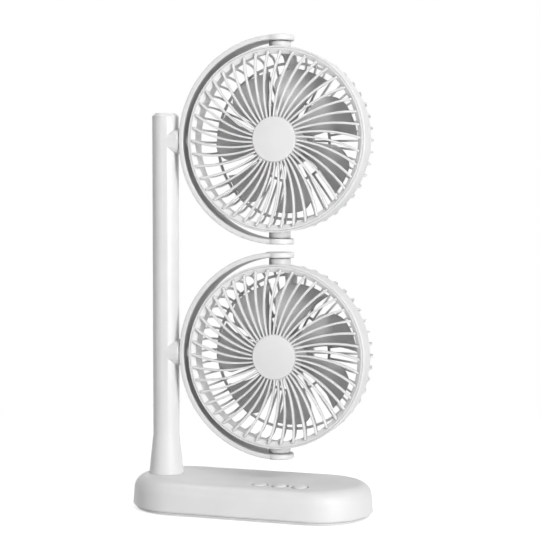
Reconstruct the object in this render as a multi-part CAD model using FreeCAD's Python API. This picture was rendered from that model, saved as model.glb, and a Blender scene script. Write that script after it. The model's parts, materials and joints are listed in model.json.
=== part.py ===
import FreeCAD, Part
import math
import os

V = FreeCAD.Vector
X_AXIS = V(1, 0, 0)
Y_AXIS = V(0, 1, 0)
Z_AXIS = V(0, 0, 1)
ORIGIN = V(0, 0, 0)

# Frame: millimetres, +Z up, the front of the fan faces -Y, the post stands at the -X end.
# The origin is on the floor under the middle of the base.

# Clearances, and how far fused lumps reach into each other
RUN_GAP = 0.05
SLIP_GAP = 0.1
MOVE_GAP = 0.3
EMBED = 0.5

# Base: a stadium, two round ends joined by a straight stretch
BASE_STRAIGHT = 107.0
BASE_END_R = 41.9
BASE_DRAFT = 1.0
BASE_ROUND = 10.0
SHELL_WALL = 2.2
SHELL_EDGE = 0.6
SEAM_GAP = 1.2
FOOT_H = 0.8
FOOT_R = 6.0
FOOT_IN_X = 1.5
FOOT_EDGE_Y = 16.9
PLATE_T = 1.6
PLATE_INSET = 2.6
PLATE_EDGE = 0.4
LIP_GAP = 0.5
LIP_T = 1.4
LIP_H = 2.6
PLATE_SCREW_OUT_X = 12.0
PLATE_SCREW_EDGE_Y = 19.9
PLATE_SCREW_R = 1.45
PLATE_SCREW_HEAD_R = 2.9
PLATE_SCREW_HEAD_T = 1.6
PLATE_SCREW_SINK = 0.5
PLATE_SCREW_L = 9.0
PLATE_PAD_H = 2.0
PLATE_PAD_R = 4.6
PILLAR_R = 3.6

# Buttons, key switches and control board
BUTTON_COUNT = 3
BUTTON_PITCH = 15.8
BUTTON_IN_X = 22.9
BUTTON_EDGE_Y = 18.5
BUTTON_R = 6.2
BUTTON_DOME = 1.6
BUTTON_RIM_DROP = 0.3
BUTTON_FLANGE_W = 1.3
BUTTON_FLANGE_T = 1.0
BUTTON_TRAVEL = 0.8
SWITCH_SIDE = 6.0
SWITCH_BODY_H = 3.4
SWITCH_PLUNGER_R = 1.7
SWITCH_PLUNGER_H = 0.6
BOARD_T = 1.6
BOARD_MARGIN_X = 11.0
BOARD_W = 21.0
BOARD_SCREW_INSET = 3.6
BOARD_SCREW_R = 1.1
BOARD_SCREW_HEAD_R = 2.2
BOARD_SCREW_HEAD_T = 1.4
BOARD_SCREW_L = 6.0
BOARD_POST_R = 2.6

# Battery cells and cradle: the cells set the height of the base
CELL_COUNT = 2
CELL_R = 9.15
CELL_L = 65.0
CELL_NUB_R = 3.0
CELL_NUB_H = 1.0
CELL_SPACE = 0.8
CELL_MID_X = -8.0
CELL_EDGE_Y = 17.3
CELL_HEADROOM = 1.5
CRADLE_FLOOR = 1.2
CRADLE_WALL = 1.4
CRADLE_H = 8.0

# Charging inlet on the back wall
INLET_IN_X = 9.5
INLET_RISE = 7.6
INLET_W = 8.94
INLET_H = 3.26
INLET_DEPTH = 7.35
INLET_SKIN = 0.35
INLET_SLOT_GAP = 0.35
INLET_REACH = 1.6
TONGUE_W = 6.6
TONGUE_T = 0.7
TONGUE_SETBACK = 1.0
INLET_BOARD_W = 14.0
INLET_BOARD_D = 12.0
INLET_BOARD_T = 1.2
INLET_BOARD_GAP = 0.9
INLET_SHELF_D = 6.0

# Post
POST_EDGE_X = 24.7
POST_R = 10.3
POST_WALL = 2.4
POST_OVER = 21.9
POST_CONE_H = 30.9
POST_CONE_R = 13.6
POST_CAP_H = 3.0
POST_CAP_CHAMFER = 2.2
POST_PLUG_T = 1.6
POST_PLUG_H = 6.0
BOSS_R = 10.1
BOSS_OUT = 3.6
BOSS_SEAT_X = 5.0
BOSS_SEAT_R = 5.4
SPIGOT_STEP = 1.6
SPIGOT_DEPTH = 13.6
SLEEVE_WALL = 2.6
CLAMP_T = 2.0
CLAMP_SCREW_COUNT = 3
CLAMP_SCREW_R = 1.2
CLAMP_SCREW_HEAD_R = 2.0
CLAMP_SCREW_HEAD_T = 1.4
CLAMP_SCREW_L = 8.0

# Wire harness inside the post and base
HARNESS_R = 1.3
HARNESS_OFF_X = 3.5
HARNESS_BEND = 7.0
HARNESS_RISE = 4.2
HARNESS_TOP_GAP = 30.0
HARNESS_PAST_CRADLE = 7.0
HARNESS_END_IN = 16.0

# Places of the two heads
HEAD_LIFT = 16.5
HEAD_SPACE = 5.9

# Head wall and swivel bosses
WALL_R = 70.0
WALL_T = 1.5
WALL_FRONT = -13.4
WALL_BACK = 8.4
WALL_TAPER = 0.8
WALL_STEP = 0.8
WALL_LIP_EDGE = 0.7
WALL_SEAM_EDGE = 0.4
SWIVEL_BOSS_R = 8.25
SWIVEL_BOSS_H = 4.25
SWIVEL_PIN_R = 3.0
SWIVEL_PIN_IN_PADDLE = 3.0
SWIVEL_PIN_IN_BOSS = 5.0

# Yoke: a half ring around the head with a round paddle at each end
YOKE_CLEAR = 5.05
YOKE_T = 3.9
YOKE_DEPTH = 20.0
YOKE_EDGE = 0.5
YOKE_PAD_R = 8.0
PADDLE_R = 11.05
PADDLE_T = 4.45
PADDLE_ROUND = 1.3
WASHER_T = 0.8
WASHER_R = 9.0
TILT_R = 2.0
TILT_HEAD_R = 3.6
TILT_HEAD_T = 1.4
TILT_HEAD_SINK = 0.3
SPRING_WASHER_T = 0.8
SPRING_WASHER_R = 3.9
TILT_NUT_T = 3.0
TILT_NUT_FLATS = 7.0
TILT_PAST_NUT = 0.6

# Front guard: spiral ribs between a rim and a hub
RIM_W = 4.1
RIM_FLAT = 1.0
RIM_DEPTH = 4.0
RIM_SLOPE = 1.8
RIB_COUNT = 42
RIB_SINK = 2.1
RIB_LEAN_DEG = 0.29
RIB_W_OUT = 1.75
RIB_W_IN = 1.45
RIB_DEPTH = 2.8
RIB_FRONT_OUT = -14.4
RIB_FRONT_IN = -15.2
RIB_STEPS = 6
GUARD_HUB_STEP = 0.6
CAP_R = 16.87
CAP_T = 1.3
CAP_ROUND = 0.5
CAP_FRONT = -15.9

# Rear cage: radial ribs from the wall to the motor hub, tied by two rings
CAGE_RIB_COUNT = 46
CAGE_SPOKE_EVERY = 2
CAGE_RIB_T = 1.6
CAGE_RIB_DEPTH = 2.2
CAGE_CHANNEL_T = 1.4
CAGE_CHANNEL_SINK = 0.5
CAGE_BACK = 30.0
CAGE_SHOULDER_Y = 16.4
CAGE_SHOULDER_IN = 10.7
CAGE_BULGE = 2.8
CAGE_RING_IN = 8.7
CAGE_RING_W = 2.2
CAGE_RING_T = 1.8
CAGE_INNER_RING_R = 31.0
CAGE_INNER_RING_W = 2.0
CAGE_HUB_R = 19.0
CAGE_HUB_T = 4.5
REAR_COVER_R = 17.6
REAR_COVER_T = 2.0
REAR_COVER_ROUND = 1.2

# Motor
STATOR_L = 11.0
STATOR_OFF = 1.9
BEARING_R = 3.6
BEARING_NOSE = 3.0
MOTOR_FLANGE_IN = 2.5
MOTOR_FLANGE_T = 1.6
MOTOR_SCREW_COUNT = 3
MOTOR_SCREW_R = 1.0
MOTOR_SCREW_HEAD_R = 1.7
MOTOR_SCREW_HEAD_T = 1.0
MOTOR_SCREW_IN = 2.1
SHAFT_R = 1.2
SHAFT_BACK_GAP = 0.6

# Impeller
BLADE_COUNT = 7
BLADE_TIP_GAP = 12.1
BLADE_FRONT = 3.1
BLADE_BACK = 19.1
BLADE_FIRST_DEG = 26.0
BLADE_SPAN_DEG = 40.0
BLADE_LEAN_DEG = 0.18
BLADE_CORNER = 13.0
BLADE_HOLLOW = 4.0
BLADE_T_TIP = 1.5
BLADE_T_ROOT = 2.4
BLADE_CAMBER = 1.2
BLADE_OVERRUN = 1.35
BLADE_ROOT_SINK = 1.2
ROTOR_HUB_R = 15.0
ROTOR_HUB_WALL = 1.8
ROTOR_HUB_FRONT = 2.0
ROTOR_HUB_ROUND = 2.5
ROTOR_GAP = 1.5
MAGNET_T = 2.0
MAGNET_L = 10.0
MAGNET_INSET = 0.9
MAGNET_AIR_GAP = 1.0

# Places worked out from the sizes above: base
HALF_STRAIGHT = BASE_STRAIGHT / 2
PLATE_TOP = FOOT_H + PLATE_T
PAD_TOP = PLATE_TOP + PLATE_PAD_H
SHELL_BOTTOM = PLATE_TOP + SEAM_GAP
CELL_Z = PLATE_TOP + CRADLE_FLOOR + CELL_R
SHELL_TOP_INSIDE = CELL_Z + CELL_R + CELL_HEADROOM
BASE_H = SHELL_TOP_INSIDE + SHELL_WALL
SHELL_SHOULDER = BASE_H - BASE_ROUND
SHELL_INNER_R = BASE_END_R - SHELL_WALL
PLATE_SCREW_SEAT = FOOT_H + PLATE_SCREW_SINK + PLATE_SCREW_HEAD_T
BUTTON_Y = BUTTON_EDGE_Y - BASE_END_R
BUTTON_MID_X = HALF_STRAIGHT - BUTTON_IN_X
BUTTON_FLANGE_R = BUTTON_R + BUTTON_FLANGE_W
BUTTON_FLANGE_TOP = SHELL_TOP_INSIDE - MOVE_GAP
BUTTON_BOTTOM = BUTTON_FLANGE_TOP - BUTTON_FLANGE_T
BOARD_TOP = BUTTON_BOTTOM - BUTTON_TRAVEL - MOVE_GAP - SWITCH_PLUNGER_H - SWITCH_BODY_H
BOARD_BOTTOM = BOARD_TOP - BOARD_T
BOARD_L = (BUTTON_COUNT - 1) * BUTTON_PITCH + 2 * BOARD_MARGIN_X
CELL_PITCH = 2 * CELL_R + CELL_SPACE
CELL_START_X = CELL_MID_X - CELL_L / 2
CELL_FIRST_Y = BASE_END_R - CELL_EDGE_Y - (CELL_COUNT - 1) * CELL_PITCH
INLET_X = HALF_STRAIGHT - INLET_IN_X
INLET_Z = PLATE_TOP + INLET_RISE
INLET_BOARD_TOP = INLET_Z - INLET_H / 2
INLET_BOARD_END = SHELL_INNER_R - INLET_BOARD_GAP
INLET_BOARD_Y = INLET_BOARD_END - INLET_BOARD_D / 2
INLET_MOUTH = INLET_BOARD_END + INLET_REACH

# Places worked out from the sizes above: heads
POCKET_R = WALL_R - WALL_T
POCKET_BACK = WALL_FRONT + RIM_DEPTH
WALL_INNER_R = POCKET_R - WALL_STEP
WALL_BACK_R = WALL_R - WALL_TAPER
SWIVEL_BOSS_TOP = WALL_R + SWIVEL_BOSS_H
PADDLE_INNER = SWIVEL_BOSS_TOP + MOVE_GAP
PADDLE_REACH = PADDLE_INNER + PADDLE_T
YOKE_R_IN = WALL_R + YOKE_CLEAR
YOKE_R_OUT = YOKE_R_IN + YOKE_T
TILT_HEAD_SEAT = -YOKE_R_IN - TILT_HEAD_SINK - TILT_HEAD_T
HEAD_LOWER_Z = BASE_H + HEAD_LIFT + PADDLE_REACH
HEAD_UPPER_Z = HEAD_LOWER_Z + 2 * PADDLE_REACH + HEAD_SPACE
HEAD_HEIGHTS = {"upper": HEAD_UPPER_Z, "lower": HEAD_LOWER_Z}
RIM_OUT_R = POCKET_R - SLIP_GAP
RIM_IN_R = RIM_OUT_R - RIM_W
RIB_END_R = RIM_IN_R + RIB_SINK
CAP_BACK = CAP_FRONT + CAP_T
GUARD_HUB_R = CAP_R + GUARD_HUB_STEP
CAGE_SHOULDER_R = WALL_BACK_R - CAGE_SHOULDER_IN
CAGE_RING_R = WALL_BACK_R - CAGE_RING_IN
CAGE_RIB_FACE = CAGE_BACK - CAGE_RIB_DEPTH
CAGE_HUB_FRONT = CAGE_BACK - CAGE_HUB_T
MOTOR_FLANGE_FRONT = CAGE_HUB_FRONT - MOTOR_FLANGE_T
STATOR_BACK = MOTOR_FLANGE_FRONT - STATOR_OFF
STATOR_FRONT = STATOR_BACK - STATOR_L
ROTOR_HUB_BACK = MOTOR_FLANGE_FRONT - ROTOR_GAP
ROTOR_FLOOR = ROTOR_HUB_FRONT + ROTOR_HUB_WALL
MAGNET_OUT_R = ROTOR_HUB_R - ROTOR_HUB_WALL
MAGNET_FRONT = ROTOR_HUB_BACK - MAGNET_INSET - MAGNET_L
STATOR_R = MAGNET_OUT_R - MAGNET_T - MAGNET_AIR_GAP
MOTOR_FLANGE_R = ROTOR_HUB_R - MOTOR_FLANGE_IN
MOTOR_SCREW_CIRCLE = MOTOR_FLANGE_R - MOTOR_SCREW_IN
BLADE_TIP_R = WALL_INNER_R - BLADE_TIP_GAP

# Places worked out from the sizes above: post
POST_X = POST_EDGE_X - HALF_STRAIGHT - BASE_END_R
BOSS_REACH = POST_R + BOSS_OUT
HEAD_OUT = BOSS_REACH + RUN_GAP + WASHER_T + YOKE_R_OUT
HEAD_X = POST_X + HEAD_OUT
POST_TOP = HEAD_UPPER_Z + POST_OVER
POST_SHOULDER = POST_TOP - POST_CAP_H
POST_BORE_R = POST_R - POST_WALL
SPIGOT_R = POST_CONE_R - SPIGOT_STEP
SPIGOT_BOTTOM = BASE_H - SPIGOT_DEPTH
SLEEVE_R = SPIGOT_R + SLIP_GAP + SLEEVE_WALL
CLAMP_CIRCLE = (POST_BORE_R + SPIGOT_R) / 2
CLAMP_BOTTOM = SPIGOT_BOTTOM - CLAMP_T
SPRING_WASHER_FACE = BOSS_SEAT_X - HEAD_OUT - RUN_GAP
TILT_NUT_FACE = SPRING_WASHER_FACE - SPRING_WASHER_T
TILT_END = TILT_NUT_FACE - TILT_NUT_T - TILT_PAST_NUT


# Shape helpers

def cylinder(radius, length, base, axis=Z_AXIS):
    return Part.makeCylinder(radius, length, base, axis)


def ring(outer, inner, length, base, axis=Z_AXIS):
    return cylinder(outer, length, base, axis).cut(cylinder(inner, length, base, axis))


def box(size_x, size_y, size_z, middle):
    corner = middle - V(size_x / 2, size_y / 2, size_z / 2)
    return Part.makeBox(size_x, size_y, size_z, corner)


def moved(shape, offset):
    copy = shape.copy()
    copy.translate(offset)
    return copy


def turned(shape, degrees, axis=Z_AXIS):
    copy = shape.copy()
    copy.rotate(ORIGIN, axis, degrees)
    return copy


def outline(path):
    """Closed face in the XZ plane. A step is (x, z), or (x, z, mid x, mid z) for an arc that ends at x, z."""
    edges = []
    here = V(path[0][0], 0, path[0][1])
    for step in path[1:] + [path[0][:2]]:
        there = V(step[0], 0, step[1])
        if len(step) == 4:
            edges.append(Part.Arc(here, V(step[2], 0, step[3]), there).toShape())
        elif there != here:
            edges.append(Part.LineSegment(here, there).toShape())
        here = there
    return Part.Face(Part.Wire(edges))


def spun(path, axis=Z_AXIS, degrees=360):
    """Solid of revolution of a path of (radius, height) steps, with its height along Z or Y."""
    solid = outline(path).revolve(ORIGIN, Z_AXIS, degrees)
    return turned(solid, -90, X_AXIS) if axis == Y_AXIS else solid


def stadium(path):
    """Solid with a path of (distance from the centre line, height) steps carried round a stadium."""
    face = outline(path)
    right = moved(turned(face, -90).revolve(ORIGIN, Z_AXIS, 180), V(HALF_STRAIGHT, 0, 0))
    left = moved(turned(face, 90).revolve(ORIGIN, Z_AXIS, 180), V(-HALF_STRAIGHT, 0, 0))
    front = moved(turned(face, -90), V(-HALF_STRAIGHT, 0, 0)).extrude(X_AXIS * BASE_STRAIGHT)
    back = moved(turned(face, 90), V(-HALF_STRAIGHT, 0, 0)).extrude(X_AXIS * BASE_STRAIGHT)
    return right.fuse([front, back, left]).removeSplitter()


def corners(x, y):
    return [V(side_x * x, side_y * y, 0) for side_x in (-1, 1) for side_y in (-1, 1)]


def around(shape, count, axis=Y_AXIS):
    return [turned(shape, 360 * i / count, axis) for i in range(count)]


def polar(radius, degrees):
    return V(radius * math.cos(math.radians(degrees)), 0, radius * math.sin(math.radians(degrees)))


def arc_mid(start, corner, end):
    """Middle of the quarter arc that rounds a square corner between two points."""
    return corner + (start + end - corner * 2) * (1 - math.sqrt(0.5))


def rounded(corner, start, end):
    """Arc step of an outline that ends at a point and rounds a square corner on the way."""
    mid = arc_mid(V(start[0], 0, start[1]), V(corner[0], 0, corner[1]), V(end[0], 0, end[1]))
    return (end[0], end[1], mid.x, mid.z)


def bent_wire(points, bend):
    """Straight runs joined by tangent arcs of one radius."""
    edges = []
    here = points[0]
    for before, corner, after in zip(points, points[1:], points[2:]):
        back = (before - corner).normalize()
        ahead = (after - corner).normalize()
        half = back.getAngle(ahead) / 2
        inward = (back + ahead).normalize()
        start = corner + back * (bend / math.tan(half))
        end = corner + ahead * (bend / math.tan(half))
        mid = corner + inward * (bend / math.sin(half) - bend)
        edges.append(Part.LineSegment(here, start).toShape())
        edges.append(Part.Arc(start, mid, end).toShape())
        here = end
    edges.append(Part.LineSegment(here, points[-1]).toShape())
    return Part.Wire(edges)


def screw(shank_r, head_r, head_t, length):
    """Screw standing on its head: head below the origin, shank upward along +Z."""
    head = cylinder(head_r, head_t, V(0, 0, -head_t))
    return head.fuse(cylinder(shank_r, length, ORIGIN)).removeSplitter()


# Places that several pieces share

def foot_places():
    return corners(HALF_STRAIGHT - FOOT_IN_X, BASE_END_R - FOOT_EDGE_Y)


def plate_screw_places():
    return corners(HALF_STRAIGHT + PLATE_SCREW_OUT_X, BASE_END_R - PLATE_SCREW_EDGE_Y)


def board_screw_places():
    places = corners(BOARD_L / 2 - BOARD_SCREW_INSET, BOARD_W / 2 - BOARD_SCREW_INSET)
    return [place + V(BUTTON_MID_X, BUTTON_Y, 0) for place in places]


def button_places():
    middle = (BUTTON_COUNT - 1) / 2
    return [V(BUTTON_MID_X + (i - middle) * BUTTON_PITCH, BUTTON_Y, 0) for i in range(BUTTON_COUNT)]


def cell_places():
    return [V(CELL_START_X, CELL_FIRST_Y + i * CELL_PITCH, CELL_Z) for i in range(CELL_COUNT)]


# Base pieces

def base_shell():
    shell = shell_outside().cut(shell_inside())
    sleeve_h = SHELL_TOP_INSIDE - SPIGOT_BOTTOM + EMBED
    sleeve = cylinder(SLEEVE_R, sleeve_h, V(POST_X, 0, SPIGOT_BOTTOM))
    pillar = cylinder(PILLAR_R, SHELL_TOP_INSIDE - PAD_TOP + EMBED, V(0, 0, PAD_TOP))
    shell = shell.fuse([sleeve] + [moved(pillar, place) for place in plate_screw_places()])
    holes = [cylinder(SPIGOT_R + SLIP_GAP, SPIGOT_DEPTH, V(POST_X, 0, SPIGOT_BOTTOM))]
    holes += [cylinder(BUTTON_R + MOVE_GAP, BASE_H, place) for place in button_places()]
    screw_hole = cylinder(PLATE_SCREW_R + RUN_GAP, PLATE_SCREW_L, V(0, 0, PAD_TOP))
    holes += [moved(screw_hole, place) for place in plate_screw_places()]
    slot = inlet_outline(INLET_W / 2 + INLET_SLOT_GAP, INLET_H / 2 + INLET_SLOT_GAP)
    holes.append(moved(slot.extrude(Y_AXIS * BASE_END_R), V(0, INLET_BOARD_END, 0)))
    return shell.cut(holes).removeSplitter()


def shell_outside():
    top_r = BASE_END_R - BASE_DRAFT
    shoulder = (top_r, SHELL_SHOULDER)
    top = (top_r - BASE_ROUND, BASE_H)
    return stadium([(0, SHELL_BOTTOM), (BASE_END_R - SHELL_EDGE, SHELL_BOTTOM),
                    (BASE_END_R, SHELL_BOTTOM + SHELL_EDGE), shoulder,
                    rounded((top_r, BASE_H), shoulder, top), (0, BASE_H)])


def shell_inside():
    top_r = SHELL_INNER_R - BASE_DRAFT
    shoulder = (top_r, SHELL_SHOULDER)
    top = (BASE_END_R - BASE_DRAFT - BASE_ROUND, SHELL_TOP_INSIDE)
    return stadium([(0, 0), (SHELL_INNER_R, 0), (SHELL_INNER_R, SHELL_BOTTOM), shoulder,
                    rounded((top_r, SHELL_TOP_INSIDE), shoulder, top), (0, SHELL_TOP_INSIDE)])


def inlet_outline(half_w, half_h):
    """Face with round ends in the plane of the back wall."""
    run = half_w - half_h
    face = outline([(-run, -half_h), (run, -half_h), (run, half_h, half_w, 0), (-run, half_h),
                    (-run, -half_h, -half_w, 0)])
    return moved(face, V(INLET_X, 0, INLET_Z))


def base_plate():
    edge = BASE_END_R - PLATE_INSET
    lip = SHELL_INNER_R - LIP_GAP
    lip_top = PLATE_TOP + LIP_H
    plate = stadium([(0, FOOT_H), (edge - PLATE_EDGE, FOOT_H), (edge, FOOT_H + PLATE_EDGE), (edge, PLATE_TOP),
                     (lip, PLATE_TOP), (lip, lip_top), (lip - LIP_T, lip_top), (lip - LIP_T, PLATE_TOP),
                     (0, PLATE_TOP)])
    root = V(0, 0, PLATE_TOP - EMBED)
    pad = cylinder(PLATE_PAD_R, PLATE_PAD_H + EMBED, root)
    post_up = cylinder(BOARD_POST_R, BOARD_BOTTOM - PLATE_TOP + EMBED, root)
    lumps = [moved(pad, place) for place in plate_screw_places()]
    lumps += [moved(post_up, place) for place in board_screw_places()]
    shelf_h = INLET_BOARD_TOP - INLET_BOARD_T - PLATE_TOP
    shelf_mid = V(INLET_X, INLET_BOARD_Y, PLATE_TOP + shelf_h / 2)
    lumps.append(box(INLET_BOARD_W, INLET_SHELF_D, shelf_h, shelf_mid))
    return plate.fuse(lumps).cut(plate_holes()).removeSplitter()


def plate_holes():
    through = cylinder(PLATE_SCREW_R + SLIP_GAP, PAD_TOP, ORIGIN)
    sink = cylinder(PLATE_SCREW_HEAD_R + SLIP_GAP, PLATE_SCREW_SEAT, ORIGIN)
    holes = [moved(through.fuse(sink), place) for place in plate_screw_places()]
    pilot = cylinder(BOARD_SCREW_R + RUN_GAP, BOARD_SCREW_L, V(0, 0, BOARD_BOTTOM - BOARD_SCREW_L))
    return holes + [moved(pilot, place) for place in board_screw_places()]


def base_feet():
    return Part.makeCompound([cylinder(FOOT_R, FOOT_H, place) for place in foot_places()])


def plate_screws():
    one = screw(PLATE_SCREW_R, PLATE_SCREW_HEAD_R, PLATE_SCREW_HEAD_T, PLATE_SCREW_L)
    seat = V(0, 0, PLATE_SCREW_SEAT)
    return Part.makeCompound([moved(one, place + seat) for place in plate_screw_places()])


def button(place):
    top = BASE_H - BUTTON_RIM_DROP
    ball_r = (BUTTON_R ** 2 + BUTTON_DOME ** 2) / (2 * BUTTON_DOME)
    half_turn = math.asin(BUTTON_R / ball_r) / 2
    mid_z = top + BUTTON_DOME - ball_r * (1 - math.cos(half_turn))
    cap = spun([(0, BUTTON_BOTTOM), (BUTTON_FLANGE_R, BUTTON_BOTTOM), (BUTTON_FLANGE_R, BUTTON_FLANGE_TOP),
                (BUTTON_R, BUTTON_FLANGE_TOP), (BUTTON_R, top),
                (0, top + BUTTON_DOME, ball_r * math.sin(half_turn), mid_z)])
    return moved(cap, place)


def control_board():
    board = box(BOARD_L, BOARD_W, BOARD_T, V(BUTTON_MID_X, BUTTON_Y, BOARD_TOP - BOARD_T / 2))
    return board.cut([cylinder(BOARD_SCREW_R + RUN_GAP, BOARD_TOP, place) for place in board_screw_places()])


def board_screws():
    one = turned(screw(BOARD_SCREW_R, BOARD_SCREW_HEAD_R, BOARD_SCREW_HEAD_T, BOARD_SCREW_L), 180, X_AXIS)
    return Part.makeCompound([moved(one, place + V(0, 0, BOARD_TOP)) for place in board_screw_places()])


def key_switches():
    body = box(SWITCH_SIDE, SWITCH_SIDE, SWITCH_BODY_H, V(0, 0, BOARD_TOP + SWITCH_BODY_H / 2))
    one = body.fuse(cylinder(SWITCH_PLUNGER_R, SWITCH_PLUNGER_H, V(0, 0, BOARD_TOP + SWITCH_BODY_H)))
    return Part.makeCompound([moved(one, place) for place in button_places()])


def battery_cells():
    one = cylinder(CELL_R, CELL_L - CELL_NUB_H, ORIGIN, X_AXIS)
    one = one.fuse(cylinder(CELL_NUB_R, CELL_L, ORIGIN, X_AXIS)).removeSplitter()
    return Part.makeCompound([moved(one, place) for place in cell_places()])


def battery_cradle():
    width = CELL_COUNT * CELL_PITCH + 2 * CRADLE_WALL
    length = CELL_L + 2 * CRADLE_WALL
    middle_y = CELL_FIRST_Y + (CELL_COUNT - 1) * CELL_PITCH / 2
    cradle = box(length, width, CRADLE_H, V(CELL_MID_X, middle_y, PLATE_TOP + CRADLE_H / 2))
    return cradle.cut([cylinder(CELL_R + RUN_GAP, CELL_L, place, X_AXIS) for place in cell_places()])


def inlet_socket():
    tube = inlet_outline(INLET_W / 2, INLET_H / 2).extrude(Y_AXIS * INLET_DEPTH)
    hollow = inlet_outline(INLET_W / 2 - INLET_SKIN, INLET_H / 2 - INLET_SKIN).extrude(Y_AXIS * INLET_DEPTH)
    tube = tube.cut(moved(hollow, V(0, INLET_SKIN, 0)))
    tongue_l = INLET_DEPTH - TONGUE_SETBACK
    tongue = box(TONGUE_W, tongue_l, TONGUE_T, V(INLET_X, tongue_l / 2, INLET_Z))
    return moved(tube.fuse(tongue).removeSplitter(), V(0, INLET_MOUTH - INLET_DEPTH, 0))


def inlet_board():
    middle = V(INLET_X, INLET_BOARD_Y, INLET_BOARD_TOP - INLET_BOARD_T / 2)
    return box(INLET_BOARD_W, INLET_BOARD_D, INLET_BOARD_T, middle)


# Post pieces

def post():
    tube = spun([(0, SPIGOT_BOTTOM), (SPIGOT_R, SPIGOT_BOTTOM), (SPIGOT_R, BASE_H), (POST_CONE_R, BASE_H),
                 (POST_R, BASE_H + POST_CONE_H), (POST_R, POST_SHOULDER), (0, POST_SHOULDER)])
    heights = HEAD_HEIGHTS.values()
    tube = tube.fuse([cylinder(BOSS_R, BOSS_REACH, V(0, 0, z), X_AXIS) for z in heights])
    bore = cylinder(POST_BORE_R, POST_TOP, V(0, 0, SPIGOT_BOTTOM))
    seats = [cylinder(BOSS_SEAT_R, POST_R, V(BOSS_SEAT_X, 0, z), X_AXIS) for z in heights]
    holes = [cylinder(TILT_R + RUN_GAP, 2 * BOSS_REACH, V(0, 0, z), X_AXIS) for z in heights]
    clamp_hole = cylinder(CLAMP_SCREW_R + RUN_GAP, CLAMP_SCREW_L, V(CLAMP_CIRCLE, 0, SPIGOT_BOTTOM))
    holes += around(clamp_hole, CLAMP_SCREW_COUNT, Z_AXIS)
    return moved(tube.cut(bore.cut(seats)).cut(holes).removeSplitter(), V(POST_X, 0, 0))


def post_cap():
    plug = POST_BORE_R - SLIP_GAP
    plug_end = POST_SHOULDER - POST_PLUG_H
    cap = spun([(0, POST_SHOULDER), (plug - POST_PLUG_T, POST_SHOULDER), (plug - POST_PLUG_T, plug_end),
                (plug, plug_end), (plug, POST_SHOULDER), (POST_R, POST_SHOULDER),
                (POST_R, POST_TOP - POST_CAP_CHAMFER), (POST_R - POST_CAP_CHAMFER, POST_TOP), (0, POST_TOP)])
    return moved(cap, V(POST_X, 0, 0))


def post_clamp():
    disc = ring(SLEEVE_R, POST_BORE_R, CLAMP_T, V(0, 0, CLAMP_BOTTOM))
    hole = cylinder(CLAMP_SCREW_R + SLIP_GAP, CLAMP_T, V(CLAMP_CIRCLE, 0, CLAMP_BOTTOM))
    return moved(disc.cut(around(hole, CLAMP_SCREW_COUNT, Z_AXIS)), V(POST_X, 0, 0))


def clamp_screws():
    one = screw(CLAMP_SCREW_R, CLAMP_SCREW_HEAD_R, CLAMP_SCREW_HEAD_T, CLAMP_SCREW_L)
    one = moved(one, V(CLAMP_CIRCLE, 0, CLAMP_BOTTOM))
    return moved(Part.makeCompound(around(one, CLAMP_SCREW_COUNT, Z_AXIS)), V(POST_X, 0, 0))


def harness():
    """Bundle that runs down the post, turns along the floor of the base and rises to the control board."""
    run_z = PLATE_TOP + HARNESS_RISE
    start_x = POST_X - HARNESS_OFF_X
    turn_x = CELL_START_X - CRADLE_WALL - HARNESS_PAST_CRADLE
    end_x = BUTTON_MID_X - BOARD_L / 2 + HARNESS_END_IN
    top = V(start_x, 0, POST_TOP - HARNESS_TOP_GAP)
    points = [top, V(start_x, 0, run_z), V(turn_x, BUTTON_Y, run_z), V(end_x, BUTTON_Y, run_z),
              V(end_x, BUTTON_Y, BOARD_BOTTOM)]
    section = Part.Wire([Part.Circle(top, Z_AXIS, HARNESS_R).toShape()])
    return bent_wire(points, HARNESS_BEND).makePipeShell([section], True, False)


# Yoke pieces, about the middle of the head

def yoke():
    pad = cylinder(YOKE_PAD_R, YOKE_T / 2, V(-YOKE_R_OUT, 0, 0), X_AXIS)
    paddle = yoke_paddle()
    body = yoke_arc().fuse([pad, paddle, turned(paddle, 180, X_AXIS)])
    bore = cylinder(SWIVEL_PIN_R + RUN_GAP, SWIVEL_PIN_IN_PADDLE + MOVE_GAP, V(0, 0, PADDLE_INNER))
    head = cylinder(TILT_HEAD_R + SLIP_GAP, YOKE_T, V(TILT_HEAD_SEAT, 0, 0), X_AXIS)
    shank = cylinder(TILT_R + RUN_GAP, YOKE_T, V(-YOKE_R_OUT, 0, 0), X_AXIS)
    return body.cut([bore, turned(bore, 180, X_AXIS), head, shank]).removeSplitter()


def yoke_arc():
    """Half ring on the post side, with its four edges broken."""
    half = YOKE_DEPTH / 2
    low = YOKE_R_IN + YOKE_EDGE
    high = YOKE_R_OUT - YOKE_EDGE
    band = [(low, -half), (high, -half), (YOKE_R_OUT, YOKE_EDGE - half), (YOKE_R_OUT, half - YOKE_EDGE),
            (high, half), (low, half), (YOKE_R_IN, half - YOKE_EDGE), (YOKE_R_IN, YOKE_EDGE - half)]
    return turned(spun(band, Y_AXIS, 180), 90, Y_AXIS)


def yoke_paddle():
    edge = PADDLE_R - PADDLE_ROUND
    low = (PADDLE_R, PADDLE_INNER + PADDLE_ROUND)
    high = (PADDLE_R, PADDLE_REACH - PADDLE_ROUND)
    return spun([(0, PADDLE_INNER), (edge, PADDLE_INNER),
                 rounded((PADDLE_R, PADDLE_INNER), (edge, PADDLE_INNER), low), high,
                 rounded((PADDLE_R, PADDLE_REACH), high, (edge, PADDLE_REACH)), (0, PADDLE_REACH)])


def friction_washer():
    return ring(WASHER_R, TILT_R + RUN_GAP, WASHER_T, V(-YOKE_R_OUT - WASHER_T, 0, 0), X_AXIS)


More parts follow.
